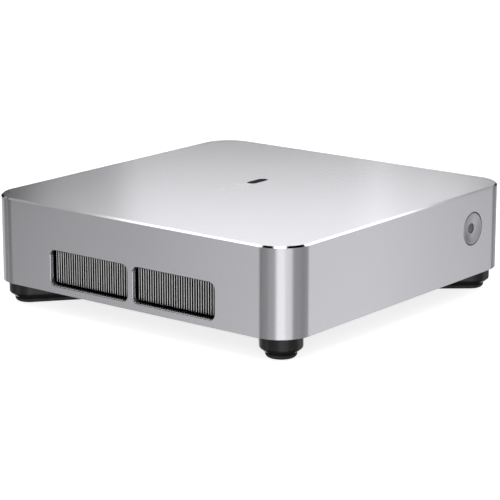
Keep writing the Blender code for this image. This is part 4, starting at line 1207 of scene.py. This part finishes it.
# ---------------------------------------------------------------- stage
# Rows of panels. Name, azimuths, elevation, distance, size, least power, extra power towards a middle
# azimuth, that azimuth and how far it spreads. Angles are in degrees from +X, distances in metres.
ROWS = (
    ("panel", range(170, 315, 24), -12.0, 1.2, (0.51, 0.9), 0.4, 1.35, 226.0, 22.0),
    ("fill", range(-20, 125, 24), -24.0, 1.2, (0.6, 0.62), 0.25, 0.95, 46.0, 32.0),
    ("strip_left", range(134, 153, 6), -12.0, 0.5, (0.07, 0.4), 0.018, 0.034, 152.0, 8.0),
    ("strip_right", range(313, 332, 6), -12.0, 0.5, (0.07, 0.4), 0.021, 0.02, 317.0, 5.0),
)
# Single panels. Name, azimuth, elevation, distance, size, power.
LIGHTS = (
    ("behind", 38.0, 20.0, 1.4, (0.45, 0.22), 0.52),
    ("low_behind_a", 23.0, 16.0, 0.6, (0.16, 0.07), 0.025),
    ("low_behind_b", 38.0, 16.0, 0.6, (0.16, 0.07), 0.025),
    ("overhead", 217.0, 76.0, 1.4, (0.6, 0.6), 1.8),
    ("high_left", 108.0, 54.0, 1.4, (0.5, 0.4), 1.0),
    ("high_right", -20.0, 40.5, 1.4, (0.5, 0.4), 1.0),
    ("low_left", 110.0, 40.0, 1.4, (0.6, 0.32), 0.2),
    ("far_left", 75.0, 27.0, 1.4, (0.8, 0.34), 0.27),
    ("low_right", -16.0, 26.0, 1.4, (0.5, 0.34), 0.18),
    ("far_right", 7.0, 20.0, 1.4, (0.4, 0.26), 0.1),
    ("front", 218.0, 28.0, 1.4, (1.6, 0.6), 1.8),
    ("under", 218.0, -65.0, 1.4, (0.8, 0.8), 1.0),
)


class MINIPC_OT_stage(Operator):
    """Pale floor, soft lights and the camera"""

    bl_idname = "mini_pc.stage"
    bl_label = "Stage"

    def execute(self, context):
        s = context.scene.mini_pc_stage
        scene = context.scene
        scene.view_settings.view_transform = "Standard"
        body = bmesh.new()
        bmesh.ops.create_grid(body, x_segments=1, y_segments=1, size=s.floor_size / 2)
        floor = make_piece("floor", body, ["floor_paper"])
        floor.visible_glossy = False
        floor.visible_shadow = False
        self.world(scene)
        target = Vector(s.target)
        for name, azimuth, elevation, distance, size, power in LIGHTS:
            self.light(name, target, azimuth, elevation, distance, size, power)
        for name, azimuths, elevation, distance, size, least, extra, middle, spread in ROWS:
            for azimuth in azimuths:
                power = least + extra * math.exp(-(((azimuth - middle) / spread) ** 2))
                self.light(f"{name}_{azimuth}", target, azimuth, elevation, distance, size, power)
        data = bpy.data.cameras.new("camera")
        data.lens = s.lens
        data.sensor_width = 36.0
        data.clip_start = 0.01
        camera = bpy.data.objects.new("camera", data)
        camera.location = s.camera
        camera.rotation_euler = (target - Vector(s.camera)).to_track_quat("-Z", "Y").to_euler()
        scene.collection.objects.link(camera)
        scene.camera = camera
        return {"FINISHED"}

    @staticmethod
    def world(scene):
        """An even white surround that reflections leave out."""
        world = bpy.data.worlds.new("surround")
        scene.world = world
        world.use_nodes = True
        background = world.node_tree.nodes["Background"]
        background.inputs["Color"].default_value = (1.0, 1.0, 1.0, 1.0)
        graph = Graph(world.node_tree)
        strength = graph.node("ShaderNodeLightPath") * 0.7 + 0.4
        world.node_tree.links.new(strength.socket, background.inputs["Strength"])
        world.cycles_visibility.glossy = False

    @staticmethod
    def light(name, target, azimuth, elevation, distance, size, power):
        """One soft panel, seen from the object in a direction and facing it."""
        data = bpy.data.lights.new(name, "AREA")
        data.shape = "RECTANGLE"
        data.size, data.size_y = size
        data.energy = power
        lamp = bpy.data.objects.new(name, data)
        a, e = math.radians(azimuth), math.radians(elevation)
        away = Vector((math.cos(a) * math.cos(e), math.sin(a) * math.cos(e), math.sin(e)))
        lamp.location = target + away * distance
        lamp.rotation_euler = away.to_track_quat("Z", "Y").to_euler()
        lamp.visible_camera = False
        bpy.context.scene.collection.objects.link(lamp)


# ---------------------------------------------------------------- add-on
OPERATORS = (
    MINIPC_OT_case,
    MINIPC_OT_bottom,
    MINIPC_OT_feet,
    MINIPC_OT_button,
    MINIPC_OT_fins,
    MINIPC_OT_rear,
    MINIPC_OT_ports,
    MINIPC_OT_inner,
    MINIPC_OT_stage,
)


class MINIPC_PT_panel(Panel):
    """Lists every step of the model"""

    bl_idname = "MINIPC_PT_panel"
    bl_label = "Mini PC"
    bl_space_type = "VIEW_3D"
    bl_region_type = "UI"
    bl_category = "Mini PC"

    def draw(self, context):
        for operator in OPERATORS:
            self.layout.operator(operator.bl_idname)


def register():
    """Add the settings, operators and panel to Blender."""
    for name, group in SETTINGS.items():
        bpy.utils.register_class(group)
        setattr(bpy.types.Scene, name, PointerProperty(type=group))
    for operator in OPERATORS:
        bpy.utils.register_class(operator)
    bpy.utils.register_class(MINIPC_PT_panel)


def unregister():
    """Take them out again."""
    bpy.utils.unregister_class(MINIPC_PT_panel)
    for operator in reversed(OPERATORS):
        bpy.utils.unregister_class(operator)
    for name, group in SETTINGS.items():
        delattr(bpy.types.Scene, name)
        bpy.utils.unregister_class(group)


def main():
    """Build every piece in order."""
    register()
    for operator in OPERATORS:
        group, name = operator.bl_idname.split(".")
        getattr(getattr(bpy.ops, group), name)()


if __name__ == "__main__":
    main()
